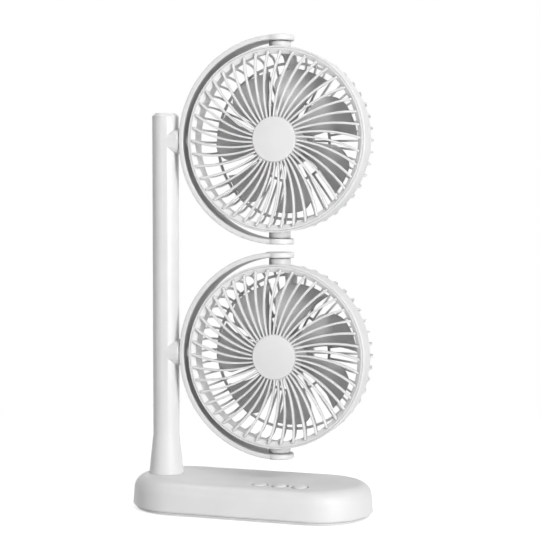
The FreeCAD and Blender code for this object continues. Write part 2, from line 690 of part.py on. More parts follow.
def tilt_screw():
    head = cylinder(TILT_HEAD_R, TILT_HEAD_T, V(TILT_HEAD_SEAT, 0, 0), X_AXIS)
    shank = cylinder(TILT_R, TILT_HEAD_SEAT - TILT_END, V(TILT_END, 0, 0), X_AXIS)
    return head.fuse(shank).removeSplitter()


def spring_washer():
    back = V(SPRING_WASHER_FACE - SPRING_WASHER_T, 0, 0)
    return ring(SPRING_WASHER_R, TILT_R + RUN_GAP, SPRING_WASHER_T, back, X_AXIS)


def tilt_nut():
    reach = TILT_NUT_FLATS / math.sqrt(3)
    points = [turned(Part.Vertex(TILT_NUT_FACE, 0, reach), 60 * i, X_AXIS).Point for i in range(6)]
    block = Part.Face(Part.makePolygon(points + points[:1])).extrude(X_AXIS * -TILT_NUT_T)
    return block.cut(cylinder(TILT_R + RUN_GAP, TILT_NUT_T, V(TILT_NUT_FACE - TILT_NUT_T, 0, 0), X_AXIS))


# Head pieces, about the middle of the head

def rear_cage():
    boss = cylinder(SWIVEL_BOSS_R, SWIVEL_BOSS_TOP, ORIGIN)
    bosses = boss.fuse(turned(boss, 180, X_AXIS))
    bosses = bosses.cut(cylinder(POCKET_R, 4 * SWIVEL_BOSS_R, V(0, -2 * SWIVEL_BOSS_R, 0), Y_AXIS))
    cage = cage_wall().fuse([bosses, cage_channel()] + cage_ribs() + cage_rings())
    pin = cylinder(SWIVEL_PIN_R + RUN_GAP, SWIVEL_PIN_IN_BOSS, V(0, 0, SWIVEL_BOSS_TOP - SWIVEL_PIN_IN_BOSS))
    screw_at = V(MOTOR_SCREW_CIRCLE, CAGE_HUB_FRONT, 0)
    screw_hole = cylinder(MOTOR_SCREW_R + RUN_GAP, CAGE_HUB_T, screw_at, Y_AXIS)
    holes = [pin, turned(pin, 180, X_AXIS)] + around(screw_hole, MOTOR_SCREW_COUNT)
    return cage.cut(holes).removeSplitter()


def cage_wall():
    lip = WALL_FRONT + WALL_LIP_EDGE
    seam = WALL_FRONT + WALL_SEAM_EDGE
    inner_back = WALL_INNER_R - WALL_TAPER
    return spun([(POCKET_R, seam), (POCKET_R + WALL_SEAM_EDGE, WALL_FRONT),
                 (WALL_R - WALL_LIP_EDGE, WALL_FRONT), (WALL_R, lip), (WALL_BACK_R, WALL_BACK),
                 (inner_back, WALL_BACK), (WALL_INNER_R, POCKET_BACK), (POCKET_R, POCKET_BACK)], Y_AXIS)


def cage_path(inner_r):
    """Outer edge of the cage: out of the wall, round the shoulder and across the back."""
    bulge_r = (WALL_BACK_R + CAGE_SHOULDER_R) / 2 + CAGE_BULGE
    bulge_y = (CAGE_SHOULDER_Y + CAGE_BACK) / 2 + CAGE_BULGE
    return [(WALL_BACK_R, WALL_BACK - CAGE_RIB_DEPTH), (WALL_BACK_R, CAGE_SHOULDER_Y), (bulge_r, bulge_y),
            (CAGE_SHOULDER_R, CAGE_BACK), (inner_r, CAGE_BACK)]


def cage_rib(inner_r):
    """Radial rib of even depth."""
    path = cage_path(inner_r)
    face = outline(path + inset(path, CAGE_RIB_DEPTH)[::-1])
    rib = moved(turned(face, -90, X_AXIS), V(0, 0, -CAGE_RIB_T / 2))
    return rib.extrude(Z_AXIS * CAGE_RIB_T)


def cage_channel():
    """Cover of the motor lead: closes the bay between the two ribs at the top."""
    bay = 360 / CAGE_RIB_COUNT
    path = cage_path(CAGE_HUB_R - EMBED)
    inside = CAGE_CHANNEL_SINK + CAGE_CHANNEL_T
    cover = spun(inset(path, CAGE_CHANNEL_SINK) + inset(path, inside)[::-1], Y_AXIS, bay)
    return turned(cover, -90 - bay / 2, Y_AXIS)


def inset(path, depth):
    """Points of an open path moved to its left by a depth, mitred at the corners."""
    points = [V(x, 0, z) for x, z in path]
    runs = [(b - a).normalize() for a, b in zip(points, points[1:])]
    result = []
    for point, before, after in zip(points, runs[:1] + runs, runs + runs[-1:]):
        sideways = V(-before.z - after.z, 0, before.x + after.x).normalize()
        reach = depth / math.cos(before.getAngle(after) / 2)
        result.append((point.x + sideways.x * reach, point.z + sideways.z * reach))
    return result


def cage_ribs():
    spoke = cage_rib(CAGE_HUB_R - EMBED)
    short_rib = cage_rib(CAGE_INNER_RING_R)
    ribs = []
    for i in range(CAGE_RIB_COUNT):
        rib = short_rib if i % CAGE_SPOKE_EVERY else spoke
        ribs.append(turned(rib, 360 * i / CAGE_RIB_COUNT, Y_AXIS))
    return ribs


def cage_rings():
    face = V(0, CAGE_RIB_FACE, 0)
    rings = [ring(radius + width / 2, radius - width / 2, CAGE_RING_T, face, Y_AXIS)
             for radius, width in ((CAGE_RING_R, CAGE_RING_W), (CAGE_INNER_RING_R, CAGE_INNER_RING_W))]
    return rings + [cylinder(CAGE_HUB_R, CAGE_HUB_T, V(0, CAGE_HUB_FRONT, 0), Y_AXIS)]


def front_guard():
    rim = spun([(RIM_OUT_R, POCKET_BACK), (RIM_OUT_R, WALL_FRONT), (RIM_OUT_R - RIM_FLAT, WALL_FRONT),
                (RIM_IN_R, WALL_FRONT + RIM_SLOPE), (RIM_IN_R, POCKET_BACK)], Y_AXIS)
    hub = cylinder(GUARD_HUB_R, RIB_DEPTH, V(0, CAP_BACK, 0), Y_AXIS)
    cap_seat = cylinder(CAP_R + SLIP_GAP, RIB_DEPTH, V(0, CAP_BACK - RIB_DEPTH, 0), Y_AXIS)
    return hub.fuse([rim] + around(guard_rib(), RIB_COUNT)).cut(cap_seat).removeSplitter()


def guard_rib():
    """One spiral rib: its angle falls evenly with the radius, and its flat front leans with the dome."""
    start = GUARD_HUB_R - EMBED
    lean = (RIB_FRONT_OUT - RIB_FRONT_IN) / (RIB_END_R - start)
    left = []
    right = []
    for i in range(RIB_STEPS + 1):
        share = i / RIB_STEPS
        radius = start + share * (RIB_END_R - start)
        angle = RIB_LEAN_DEG * (RIB_END_R - radius)
        slope = math.radians(angle) - math.atan(radius * math.radians(RIB_LEAN_DEG))
        half = (RIB_W_IN + share * (RIB_W_OUT - RIB_W_IN)) / 2
        across = V(-math.sin(slope), 0, math.cos(slope)) * half
        left.append(polar(radius, angle) + across)
        right.append(polar(radius, angle) - across)
    loop = [point + V(0, RIB_FRONT_OUT + lean * (point.x - RIB_END_R), 0) for point in left + right[::-1]]
    return Part.Face(Part.makePolygon(loop + loop[:1])).extrude(Y_AXIS * RIB_DEPTH)


def guard_cap():
    side = (CAP_R, CAP_FRONT + CAP_ROUND)
    front = (CAP_R - CAP_ROUND, CAP_FRONT)
    return spun([(0, CAP_BACK), (CAP_R, CAP_BACK), side,
                 rounded((CAP_R, CAP_FRONT), side, front), (0, CAP_FRONT)], Y_AXIS)


def swivel_pins():
    length = SWIVEL_PIN_IN_BOSS + MOVE_GAP + SWIVEL_PIN_IN_PADDLE
    pin = cylinder(SWIVEL_PIN_R, length, V(0, 0, SWIVEL_BOSS_TOP - SWIVEL_PIN_IN_BOSS))
    return Part.makeCompound([pin, turned(pin, 180, X_AXIS)])


def motor_stator():
    bore = SHAFT_R + RUN_GAP
    nose = STATOR_FRONT - BEARING_NOSE
    stator = spun([(bore, nose), (BEARING_R, nose), (BEARING_R, STATOR_FRONT), (STATOR_R, STATOR_FRONT),
                   (STATOR_R, STATOR_BACK), (BEARING_R, STATOR_BACK), (BEARING_R, MOTOR_FLANGE_FRONT),
                   (MOTOR_FLANGE_R, MOTOR_FLANGE_FRONT), (MOTOR_FLANGE_R, CAGE_HUB_FRONT),
                   (bore, CAGE_HUB_FRONT)], Y_AXIS)
    place = V(MOTOR_SCREW_CIRCLE, MOTOR_FLANGE_FRONT, 0)
    hole = cylinder(MOTOR_SCREW_R + RUN_GAP, MOTOR_FLANGE_T, place, Y_AXIS)
    return stator.cut(around(hole, MOTOR_SCREW_COUNT))


def motor_screws():
    one = screw(MOTOR_SCREW_R, MOTOR_SCREW_HEAD_R, MOTOR_SCREW_HEAD_T, CAGE_HUB_T)
    one = moved(turned(one, -90, X_AXIS), V(MOTOR_SCREW_CIRCLE, MOTOR_FLANGE_FRONT, 0))
    return Part.makeCompound(around(one, MOTOR_SCREW_COUNT))


def rear_cover():
    back = CAGE_BACK + REAR_COVER_T
    side = (REAR_COVER_R, back - REAR_COVER_ROUND)
    end = (REAR_COVER_R - REAR_COVER_ROUND, back)
    return spun([(0, CAGE_BACK), (REAR_COVER_R, CAGE_BACK), side,
                 rounded((REAR_COVER_R, back), side, end), (0, back)], Y_AXIS)


# Impeller pieces, about the middle of the head

def impeller():
    return rotor_hub().fuse(around(blade(), BLADE_COUNT)).removeSplitter()


def rotor_hub():
    """Cup over the stator, with a boss for the shaft inside."""
    bore = SHAFT_R + RUN_GAP
    front = (ROTOR_HUB_R - ROTOR_HUB_ROUND, ROTOR_HUB_FRONT)
    side = (ROTOR_HUB_R, ROTOR_HUB_FRONT + ROTOR_HUB_ROUND)
    boss_end = ROTOR_FLOOR + ROTOR_HUB_WALL
    return spun([(bore, ROTOR_HUB_FRONT), front, rounded((ROTOR_HUB_R, ROTOR_HUB_FRONT), front, side),
                 (ROTOR_HUB_R, ROTOR_HUB_BACK), (MAGNET_OUT_R, ROTOR_HUB_BACK), (MAGNET_OUT_R, ROTOR_FLOOR),
                 (BEARING_R, ROTOR_FLOOR), (BEARING_R, boss_end), (bore, boss_end)], Y_AXIS)


def blade():
    """One blade: a twisted sheet lofted outward, trimmed to its outline as seen from the front."""
    return turned(blade_sheet(), -BLADE_FIRST_DEG, Y_AXIS).common(blade_outline())


def blade_sheet():
    radii = (MAGNET_OUT_R, (ROTOR_HUB_R + BLADE_TIP_R) / 2, BLADE_TIP_R + BLADE_ROOT_SINK)
    return Part.makeLoft([blade_section(radius) for radius in radii], True, False)


def blade_section(radius):
    """Cambered strip across a blade at one radius, run past its edges so that the outline can trim it."""
    middle = (BLADE_FRONT + BLADE_BACK) / 2
    rise = BLADE_OVERRUN * (BLADE_BACK - BLADE_FRONT) / 2
    half_chord = BLADE_OVERRUN * radius * math.tan(math.radians(BLADE_SPAN_DEG / 2))
    share = (radius - ROTOR_HUB_R) / (BLADE_TIP_R - ROTOR_HUB_R)
    thick = V(0, BLADE_T_ROOT + share * (BLADE_T_TIP - BLADE_T_ROOT), 0)
    rear = V(radius, middle + rise, -half_chord) - thick / 2
    peak = V(radius, middle + BLADE_CAMBER, 0) - thick / 2
    ahead = V(radius, middle - rise, half_chord) - thick / 2
    return Part.Wire([Part.Arc(rear, peak, ahead).toShape(),
                      Part.LineSegment(ahead, ahead + thick).toShape(),
                      Part.Arc(ahead + thick, peak + thick, rear + thick).toShape(),
                      Part.LineSegment(rear + thick, rear).toShape()])


def blade_outline():
    """Front view of a blade: a hollow edge behind, a tip arc, and a round corner at the front edge."""
    root = ROTOR_HUB_R - BLADE_ROOT_SINK
    lean = BLADE_LEAN_DEG * (BLADE_TIP_R - root) / 2
    rear = BLADE_FIRST_DEG - BLADE_SPAN_DEG / 2
    ahead = BLADE_FIRST_DEG + BLADE_SPAN_DEG / 2
    corner_deg = math.degrees(BLADE_CORNER / BLADE_TIP_R)
    root_rear = polar(root, rear + lean)
    root_ahead = polar(root, ahead + lean)
    tip_rear = polar(BLADE_TIP_R, rear - lean)
    tip_mid = polar(BLADE_TIP_R, (rear + ahead - corner_deg) / 2 - lean)
    tip_ahead = polar(BLADE_TIP_R, ahead - lean - corner_deg)
    side_ahead = polar(BLADE_TIP_R - BLADE_CORNER, ahead)
    corner = polar(BLADE_TIP_R, ahead - lean)
    inward = turned(Part.Vertex((tip_rear - root_rear).normalize()), -90, Y_AXIS).Point
    rear_mid = (root_rear + tip_rear) / 2 + inward * BLADE_HOLLOW
    edges = [Part.Arc(root_rear, rear_mid, tip_rear), Part.Arc(tip_rear, tip_mid, tip_ahead),
             Part.Arc(tip_ahead, arc_mid(tip_ahead, corner, side_ahead), side_ahead),
             Part.LineSegment(side_ahead, root_ahead), Part.LineSegment(root_ahead, root_rear)]
    return Part.Face(Part.Wire([edge.toShape() for edge in edges])).extrude(Y_AXIS * 2 * BLADE_BACK)


def motor_shaft():
    back = CAGE_HUB_FRONT - SHAFT_BACK_GAP
    return cylinder(SHAFT_R, back - ROTOR_FLOOR, V(0, ROTOR_FLOOR, 0), Y_AXIS)


def magnet_ring():
    return ring(MAGNET_OUT_R - RUN_GAP, MAGNET_OUT_R - MAGNET_T, MAGNET_L, V(0, MAGNET_FRONT, 0), Y_AXIS)


# All pieces by name

def base_pieces():
    return {
        "base_shell": base_shell(), "base_plate": base_plate(), "base_feet": base_feet(),
        "plate_screws": plate_screws(), "control_board": control_board(), "board_screws": board_screws(),
        "key_switches": key_switches(), "battery_cells": battery_cells(), "battery_cradle": battery_cradle(),
        "inlet_socket": inlet_socket(), "inlet_board": inlet_board(), "post": post(), "post_cap": post_cap(),
        "post_clamp": post_clamp(), "clamp_screws": clamp_screws(), "harness": harness(),
    }


def head_pieces():
    return {
        "yoke": yoke(), "friction_washer": friction_washer(), "tilt_screw": tilt_screw(),
        "spring_washer": spring_washer(), "tilt_nut": tilt_nut(), "rear_cage": rear_cage(),
        "front_guard": front_guard(), "guard_cap": guard_cap(), "swivel_pins": swivel_pins(),
        "motor_stator": motor_stator(), "motor_screws": motor_screws(), "rear_cover": rear_cover(),
        "impeller": impeller(), "motor_shaft": motor_shaft(), "magnet_ring": magnet_ring(),
    }


def all_pieces():
    pieces = base_pieces()
    for number, place in enumerate(button_places(), 1):
        pieces["button_%d" % number] = button(place)
    for name, shape in head_pieces().items():
        for level, height in HEAD_HEIGHTS.items():
            pieces["%s_%s" % (name, level)] = moved(shape, V(HEAD_X, 0, height))
    return pieces


os.makedirs("parts", exist_ok=True)
for node, solid in all_pieces().items():
    solid.exportStep("parts/%s.step" % node)
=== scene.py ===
import bmesh
import bpy
import json
import math
from mathutils import Matrix, Vector


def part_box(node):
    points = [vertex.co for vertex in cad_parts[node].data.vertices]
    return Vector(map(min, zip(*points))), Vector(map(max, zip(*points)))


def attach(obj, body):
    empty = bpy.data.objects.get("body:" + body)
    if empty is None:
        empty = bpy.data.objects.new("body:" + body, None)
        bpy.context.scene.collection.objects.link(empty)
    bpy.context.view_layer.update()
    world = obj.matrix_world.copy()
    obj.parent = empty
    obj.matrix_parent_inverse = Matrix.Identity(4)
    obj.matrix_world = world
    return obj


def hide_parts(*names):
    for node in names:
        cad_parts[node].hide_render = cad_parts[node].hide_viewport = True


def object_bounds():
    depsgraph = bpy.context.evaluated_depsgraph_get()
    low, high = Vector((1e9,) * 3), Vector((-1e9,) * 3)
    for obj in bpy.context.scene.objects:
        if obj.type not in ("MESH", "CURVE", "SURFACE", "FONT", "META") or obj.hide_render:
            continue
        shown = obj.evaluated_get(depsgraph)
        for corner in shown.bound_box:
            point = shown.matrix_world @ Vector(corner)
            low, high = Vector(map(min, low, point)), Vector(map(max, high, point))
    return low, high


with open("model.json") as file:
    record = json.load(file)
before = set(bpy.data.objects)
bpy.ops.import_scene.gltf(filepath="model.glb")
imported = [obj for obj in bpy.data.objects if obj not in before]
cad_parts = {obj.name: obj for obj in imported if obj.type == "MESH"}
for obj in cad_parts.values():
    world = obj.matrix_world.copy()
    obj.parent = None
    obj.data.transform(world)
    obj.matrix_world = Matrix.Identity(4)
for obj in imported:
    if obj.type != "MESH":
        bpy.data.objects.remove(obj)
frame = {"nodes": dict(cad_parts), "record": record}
cad_low, cad_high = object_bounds()

# Camera: fitted to the photograph, in metres and degrees
CAMERA_AT = (0.3565374, -1.0271445, 0.2366165)
CAMERA_TURN_DEG = (87.3352, 0.0, 18.3882)
CAMERA_LENS_MM = 94.624
SENSOR_MM = 36.0

# Stage and light
FLOOR_HALF = 4.0
FLOOR_NEAR = 0.3
FLOOR_FAR = 0.6
FLOOR_COLOUR = 0.8
FLOOR_LIFT = 0.70
WORLD_AXIS = (0.0, 1.0, 0.0)
WORLD_RANGE = (0.3, 1.0)
WORLD_LIGHT = (0.02, 1.0)
# Lamps: degrees to the right of the front, degrees up, distance and width in metres, watts
LAMPS = {"key_right": (50.0, 5.0, 1.5, 0.4, 11.4), "high_right": (45.0, 35.0, 1.5, 0.6, 8.4),
         "top_left": (-90.0, 70.0, 1.5, 0.7, 5.4), "front_low": (-20.0, 5.0, 1.5, 0.4, 2.1),
         "back_fill": (170.0, 30.0, 1.5, 0.8, 0.5)}
LAMP_AIM = (0.0, 0.0, 0.18)

# Painted shade in recesses: share of the colour taken away where a surface is closed in, how far around
# it that looks in metres, and the share of open space over which the painted shade fades
PAINTED_SHADE = 0.8
PAINTED_SHADE_REACH = 0.03
PAINTED_SHADE_RANGE = (0.0, 0.7)
PAINTED_SHADE_SAMPLES = 8
# Painted shade on the yokes, and in the narrow seams of the base plate and the buttons: share, reach in
# metres, open-space range
YOKE_PAINTED_SHADE = 0.45
SEAM_PAINTED_SHADE = 0.95
SEAM_PAINTED_SHADE_REACH = 0.003
SEAM_PAINTED_SHADE_RANGE = (0.75, 1.0)

# Surfaces: waves per metre of the slow drift of colour, detail and strength of the moulded grain
DRIFT_SCALE = 45.0
DRIFT_ENDS = (0.3, 0.7)
GRAIN_DETAIL = 2.0
GRAIN_STRENGTH = 0.25
ROUGH_SPREAD = 0.15

# Meshes: welding distance and size of a sliver in metres, angle of a sharp edge
WELD = 4e-6
SLIVER = 2e-6
SHARP_DEG = 38.0

# The two heads
LEVELS = ("upper", "lower")

# Sizes of the dressed pieces in millimetres, as in the solids
MM = 0.001

# Base shell
HALF_STRAIGHT = 53.5
BASE_END_R = 41.9
BASE_TOP_R = 40.3
BASE_BOTTOM = 3.6
BASE_TOP = 25.6
BASE_ROUND = 10.0
SHELL_WALL = 2.2
SHELL_FLAT_IN = 1.0
SHELL_FOOT_ROUND = (0.2, 0.6)
SHELL_CUT = (20.0, 30.0)

# Buttons and their holes
BUTTON_R = 6.2
BUTTON_DOME_R = 5.5
BUTTON_HOLE_R = 6.5
BUTTON_BOTTOM = 22.1
BUTTON_FLANGE = (7.5, 23.1)
BUTTON_GROOVE = 24.4
BUTTON_SIDE = 25.35
BUTTON_TOP = 26.9
BUTTON_EASE = 0.2
BUTTON_FILLET = 0.15
BUTTON_DOME_STEP_DEG = 8
BUTTON_HOLE_SINK = 0.1
BUTTON_HOLE_ROUND = 0.5
BUTTON_HOLE_FLARE = (2.0, 0.3)

# Charging inlet: where it is, half its size, depth and growth of its cut
INLET_AT = (44.0, 10.0)
INLET_HALF = (4.82, 1.98)
INLET_CUT = ((37.0, 0.0), (40.9, 0.0), (41.3, 0.12), (41.6, 0.45), (42.4, 1.3))

# Post with its cone and spigot
POST_R = 10.3
POST_BORE_R = 7.9
POST_CONE_R = 13.6
POST_CONE_TOP = 56.5
POST_CONE_ROUND = 25.0
POST_FOOT_ROUND = 0.3
POST_BORE_TOP = 400.0
SPIGOT_R = 12.0
SPIGOT_BOTTOM = 12.0
SPIGOT_ROUND = 0.4
SPIGOT_GAP = 0.1

# Post cap and its plug
CAP_SEAM = 303.9
CAP_TOP = 306.9
CAP_CHAMFER = 2.2
CAP_SEAM_ROUND = 0.25
CAP_ROUND = 0.8
PLUG_R = 7.8
PLUG_WALL = 1.6
PLUG_BOTTOM = 297.9
PLUG_ROUND = 0.3

# Post bosses and tilt holes
BOSS_R = 10.1
BOSS_REACH = 13.9
BOSS_START = 1.0
BOSS_ROUND = 0.6
TILT_HOLE_R = 2.05
TILT_HOLE_L = 20.0

# Yokes with paddles and pin holes
YOKE_IN = 75.05
YOKE_OUT = 78.95
YOKE_HALF = 10.0
YOKE_ROUND = 0.9
YOKE_PAD_R = 8.0
YOKE_PAD_ROUND = 0.3
YOKE_CUT = (85.0, 70.0)
PADDLE_R = 11.05
PADDLE_LOW = 74.55
PADDLE_HIGH = 79.0
PADDLE_ROUND = 1.3
PIN_HOLE_R = 3.05
PIN_HOLE_TOP = 77.85
PIN_HOLE_BOTTOM = 69.25
PIN_HOLE_END = 80.0
TILT_HEAD_HOLE_R = 3.7
TILT_HEAD_SEAT = 76.75

# Head wall and swivel bosses
WALL_R = 70.0
WALL_BACK_R = 69.2
WALL_FRONT = -13.4
WALL_BACK = 8.4
POCKET_R = 68.5
POCKET_BACK = -9.4
WALL_INNER_R = 67.7
WALL_TAPER = 0.8
WALL_ROUND = (0.35, 0.65, 0.5, 0.5, 0.2)
WALL_STEPS = 216
SWIVEL_BOSS_R = 8.25
SWIVEL_BOSS_TOP = 74.25
SWIVEL_BOSS_START = 68.0
SWIVEL_BOSS_ROUND = 0.5

# Front guard and its cap
RIM_OUT = 68.4
RIM_FLAT_IN = 67.4
RIM_IN = 64.3
RIM_SLOPE_END = -11.6
RIM_ROUND = (0.25, 0.6, 0.5, 0.3)
RIB_COUNT = 42
RIB_END = 66.4
RIB_LEAN_DEG = 0.29
RIB_W = (1.45, 1.75)
RIB_FRONT = (-15.2, -14.4)
RIB_DEPTH = 2.8
RIB_ROUND = (0.5, 0.3)
# Outer end of a rib: distance from the end, share of the width, drop of the front
RIB_TIP = ((0.8, 1.0, 0.0), (0.4, 0.94, 0.05), (0.12, 0.74, 0.25), (0.0, 0.42, 0.55))
GUARD_HUB_R = 17.47
GUARD_HUB_ROUND = 0.25
CAP_R = 16.87
CAP_FRONT = -15.9
CAP_BACK = -14.6
CAP_EDGE_ROUND = 0.5
CAP_GAP = 0.1

# Rear cage, lead channel and rear cover
CAGE_RIB_COUNT = 46
CAGE_RIB_T = 1.6
CAGE_RIB_DEPTH = 2.2
CAGE_RIB_ROOT = 2.2
CAGE_ROUND = 0.5
CAGE_BENDS = (20.0, 7.0, 10.0)
CAGE_BACK = 30.0
CAGE_SHOULDER = (69.2, 16.4)
CAGE_BULGE = (66.95, 26.3)
CAGE_SHOULDER_R = 58.5
CAGE_RINGS = ((60.5, 2.2), (31.0, 2.0))
CAGE_RING_Y = (27.8, 29.6)
CAGE_HUB_R = 19.0
CAGE_HUB_FRONT = 25.5
CAGE_HUB_ROUND = 0.8
CAGE_HUB_OVERLAP = 0.5
CHANNEL_SINK = 0.5
CHANNEL_T = 1.4
CHANNEL_BEAD = 1.5
COVER_R = 17.6
COVER_BACK = 32.0
COVER_ROUND = 1.2

# Impeller
ROTOR_R = 15.0
ROTOR_FRONT = 2.0
ROTOR_BACK = 22.4
ROTOR_INNER_R = 13.2
ROTOR_FLOOR = 3.8
ROTOR_ROUND = (2.5, 0.3)
SHAFT_HOLE_R = 1.25
SHAFT_BOSS = (3.6, 5.6)
BLADE_COUNT = 7
BLADE_ROOT_R = 13.8
BLADE_TIP_R = 55.6
BLADE_MID_Y = 11.1
BLADE_RISE = 10.8
BLADE_CAMBER = 1.2
BLADE_FIRST_DEG = 26.0
BLADE_HALF_SPAN_DEG = 20.0
BLADE_LEAN_DEG = 3.762
BLADE_CORNER = 13.0
BLADE_STRAIGHT = 0.6
BLADE_HOLLOW = 4.0
BLADE_T = (2.4, 1.5)
# Rounded edge of a blade: share of the way in, share of the thickness
BLADE_EDGE = ((0.0, 0.2), (0.006, 0.62), (0.02, 0.92))
BLADE_EDGE_END = 0.05
BLADE_STEPS = (18, 26)
BLADE_OVERRUN = 1.35


# Node helpers

def new_material(name):
    material = bpy.data.materials.new(name)
    material.use_nodes = True
    tree = material.node_tree
    return material, tree, tree.nodes["Principled BSDF"]


def add(tree, kind, **values):
    """New node with its inputs, or its own settings, given by name."""
    node = tree.nodes.new(kind)
    for key, value in values.items():
        if key in node.inputs:
            node.inputs[key].default_value = value
        else:
            setattr(node, key, value)
    return node


def noise(tree, scale, detail=3.0):
    """Noise in object coordinates; scale is in waves per metre."""
    place = add(tree, "ShaderNodeTexCoord")
    texture = add(tree, "ShaderNodeTexNoise", Scale=scale, Detail=detail)
    tree.links.new(place.outputs["Object"], texture.inputs["Vector"])
    return texture.outputs["Fac"]


def spread(tree, source, low, high, start=0.0, end=1.0):
    """Maps a value from one range to another."""
    node = add(tree, "ShaderNodeMapRange")
    node.inputs["From Min"].default_value = start
    node.inputs["From Max"].default_value = end
    node.inputs["To Min"].default_value = low
    node.inputs["To Max"].default_value = high
    tree.links.new(source, node.inputs["Value"])
    return node.outputs["Result"]


def tint(tree, source, low, high):
    """Colour ramp between two colours."""
    ramp = add(tree, "ShaderNodeValToRGB")
    ramp.color_ramp.elements[0].color = (*low, 1.0)
    ramp.color_ramp.elements[1].color = (*high, 1.0)
    ramp.color_ramp.elements[0].position = DRIFT_ENDS[0]
    ramp.color_ramp.elements[1].position = DRIFT_ENDS[1]
    tree.links.new(source, ramp.inputs["Fac"])
    return ramp.outputs["Color"]


def surface(name, colour, rough, grain=900.0, bump_mm=0.01, drift=0.02, metallic=0.0,
            painted_shade_share=0.0, reach=PAINTED_SHADE_REACH, within=PAINTED_SHADE_RANGE, own=False):
    """Material with a slow drift of colour, an uneven roughness and a fine moulded grain.

    With a share of painted shade, the colour is darkened where the surface is closed in, by any piece or
    only by the piece's own shape.
    """
    material, tree, shader = new_material(name)
    slow = noise(tree, DRIFT_SCALE)
    fine = noise(tree, grain, GRAIN_DETAIL)
    low = [max(0.0, c * (1 - drift)) for c in colour]
    high = [min(1.0, c * (1 + drift)) for c in colour]
    tone = tint(tree, slow, low, high)
    # Painted shade: ambient occlusion darkens the colour where the surface is closed in
    if painted_shade_share:
        occlusion = add(tree, "ShaderNodeAmbientOcclusion", samples=PAINTED_SHADE_SAMPLES, only_local=own,
                   Distance=reach)
        share = spread(tree, occlusion.outputs["AO"], 1 - painted_shade_share, 1.0, *within)
        deep = add(tree, "ShaderNodeVectorMath", operation="SCALE")
        tree.links.new(tone, deep.inputs["Vector"])
        tree.links.new(share, deep.inputs["Scale"])
        tone = deep.outputs["Vector"]
    tree.links.new(tone, shader.inputs["Base Color"])
    uneven = spread(tree, fine, rough * (1 - ROUGH_SPREAD), rough * (1 + ROUGH_SPREAD))
    tree.links.new(uneven, shader.inputs["Roughness"])
    bump = add(tree, "ShaderNodeBump", Strength=GRAIN_STRENGTH, Distance=bump_mm * MM)
    tree.links.new(fine, bump.inputs["Height"])
    tree.links.new(bump.outputs["Normal"], shader.inputs["Normal"])
    shader.inputs["Metallic"].default_value = metallic
    return material


WHITE = (0.80, 0.80, 0.80)
MATERIALS = {
    "white_plastic": surface("white_plastic", WHITE, 0.40),
    # Head pieces: white plastic with painted shade, darker inside the head and between its parts
    "white_head_painted_shade": surface("white_head_painted_shade", WHITE, 0.40, painted_shade_share=PAINTED_SHADE),
    # Yokes: white plastic with a lighter painted shade, darkest on the inner face next to the head
    "white_yoke_painted_shade": surface("white_yoke_painted_shade", WHITE, 0.40, painted_shade_share=YOKE_PAINTED_SHADE),
    # Blades: grey darker than their white plastic as painted shade for the dark inside of the head, plus
    # painted shade where closed in
    "white_blades": surface("white_blades", (0.58, 0.58, 0.58), 0.30, painted_shade_share=PAINTED_SHADE),
    # Base plate: white plastic with painted shade from its own shape, dark in the groove under the shell,
    # light on its side
    "white_plate_painted_shade": surface("white_plate_painted_shade", WHITE, 0.40, painted_shade_share=SEAM_PAINTED_SHADE, reach=SEAM_PAINTED_SHADE_REACH,
                           within=SEAM_PAINTED_SHADE_RANGE, own=True),
    # Buttons: painted shade in the narrow groove round each dome
    "button_plastic": surface("button_plastic", (0.84, 0.84, 0.84), 0.42, painted_shade_share=PAINTED_SHADE,
                              reach=SEAM_PAINTED_SHADE_REACH),
    "grey_seam": surface("grey_seam", (0.50, 0.50, 0.50), 0.55),
    "rubber_foot": surface("rubber_foot", (0.05, 0.05, 0.05), 0.75, grain=1500.0),
    "steel": surface("steel", (0.60, 0.60, 0.61), 0.32, metallic=1.0),
    "magnet": surface("magnet", (0.12, 0.12, 0.13), 0.6, metallic=0.6),
    "board": surface("board", (0.03, 0.16, 0.07), 0.45),
    "switch_black": surface("switch_black", (0.02, 0.02, 0.02), 0.5),
    "cell_wrap": surface("cell_wrap", (0.07, 0.19, 0.36), 0.3),
    "wire_jacket": surface("wire_jacket", (0.03, 0.03, 0.03), 0.6),
}
# The base plate takes the white with painted shade in place of its grey finish
CAD_FINISH = {"base_plate": "white_plate_painted_shade"}


def dress_cad():
    """Gives every CAD node the finish of its slot, or its own."""
    for part in frame["record"]["subparts"]:
        data = frame["nodes"][part["node"]].data
        data.materials.clear()
        data.materials.append(MATERIALS[CAD_FINISH.get(part["node"], part["material_slot"])])


# Mesh helpers: a mesh is a list of points in millimetres and a list of faces

def rounded(corners, steps=5):
    """Path through corners (x, y); one given as (x, y, radius) is rounded with that radius."""
    path = []
    for i, corner in enumerate(corners):
        here = Vector(corner[:2])
        if len(corner) == 2:
            path.append(here)
            continue
        before = (Vector(corners[i - 1][:2]) - here).normalized()
        after = (Vector(corners[(i + 1) % len(corners)][:2]) - here).normalized()
        half = before.angle(after) / 2
        radius = corner[2]
        middle = here + (before + after).normalized() * (radius / math.sin(half))
        start = here + before * (radius / math.tan(half)) - middle
        end = here + after * (radius / math.tan(half)) - middle
        path += [middle + start.lerp(end, k / steps).normalized() * radius
                 for k in range(steps + 1)]
    return path


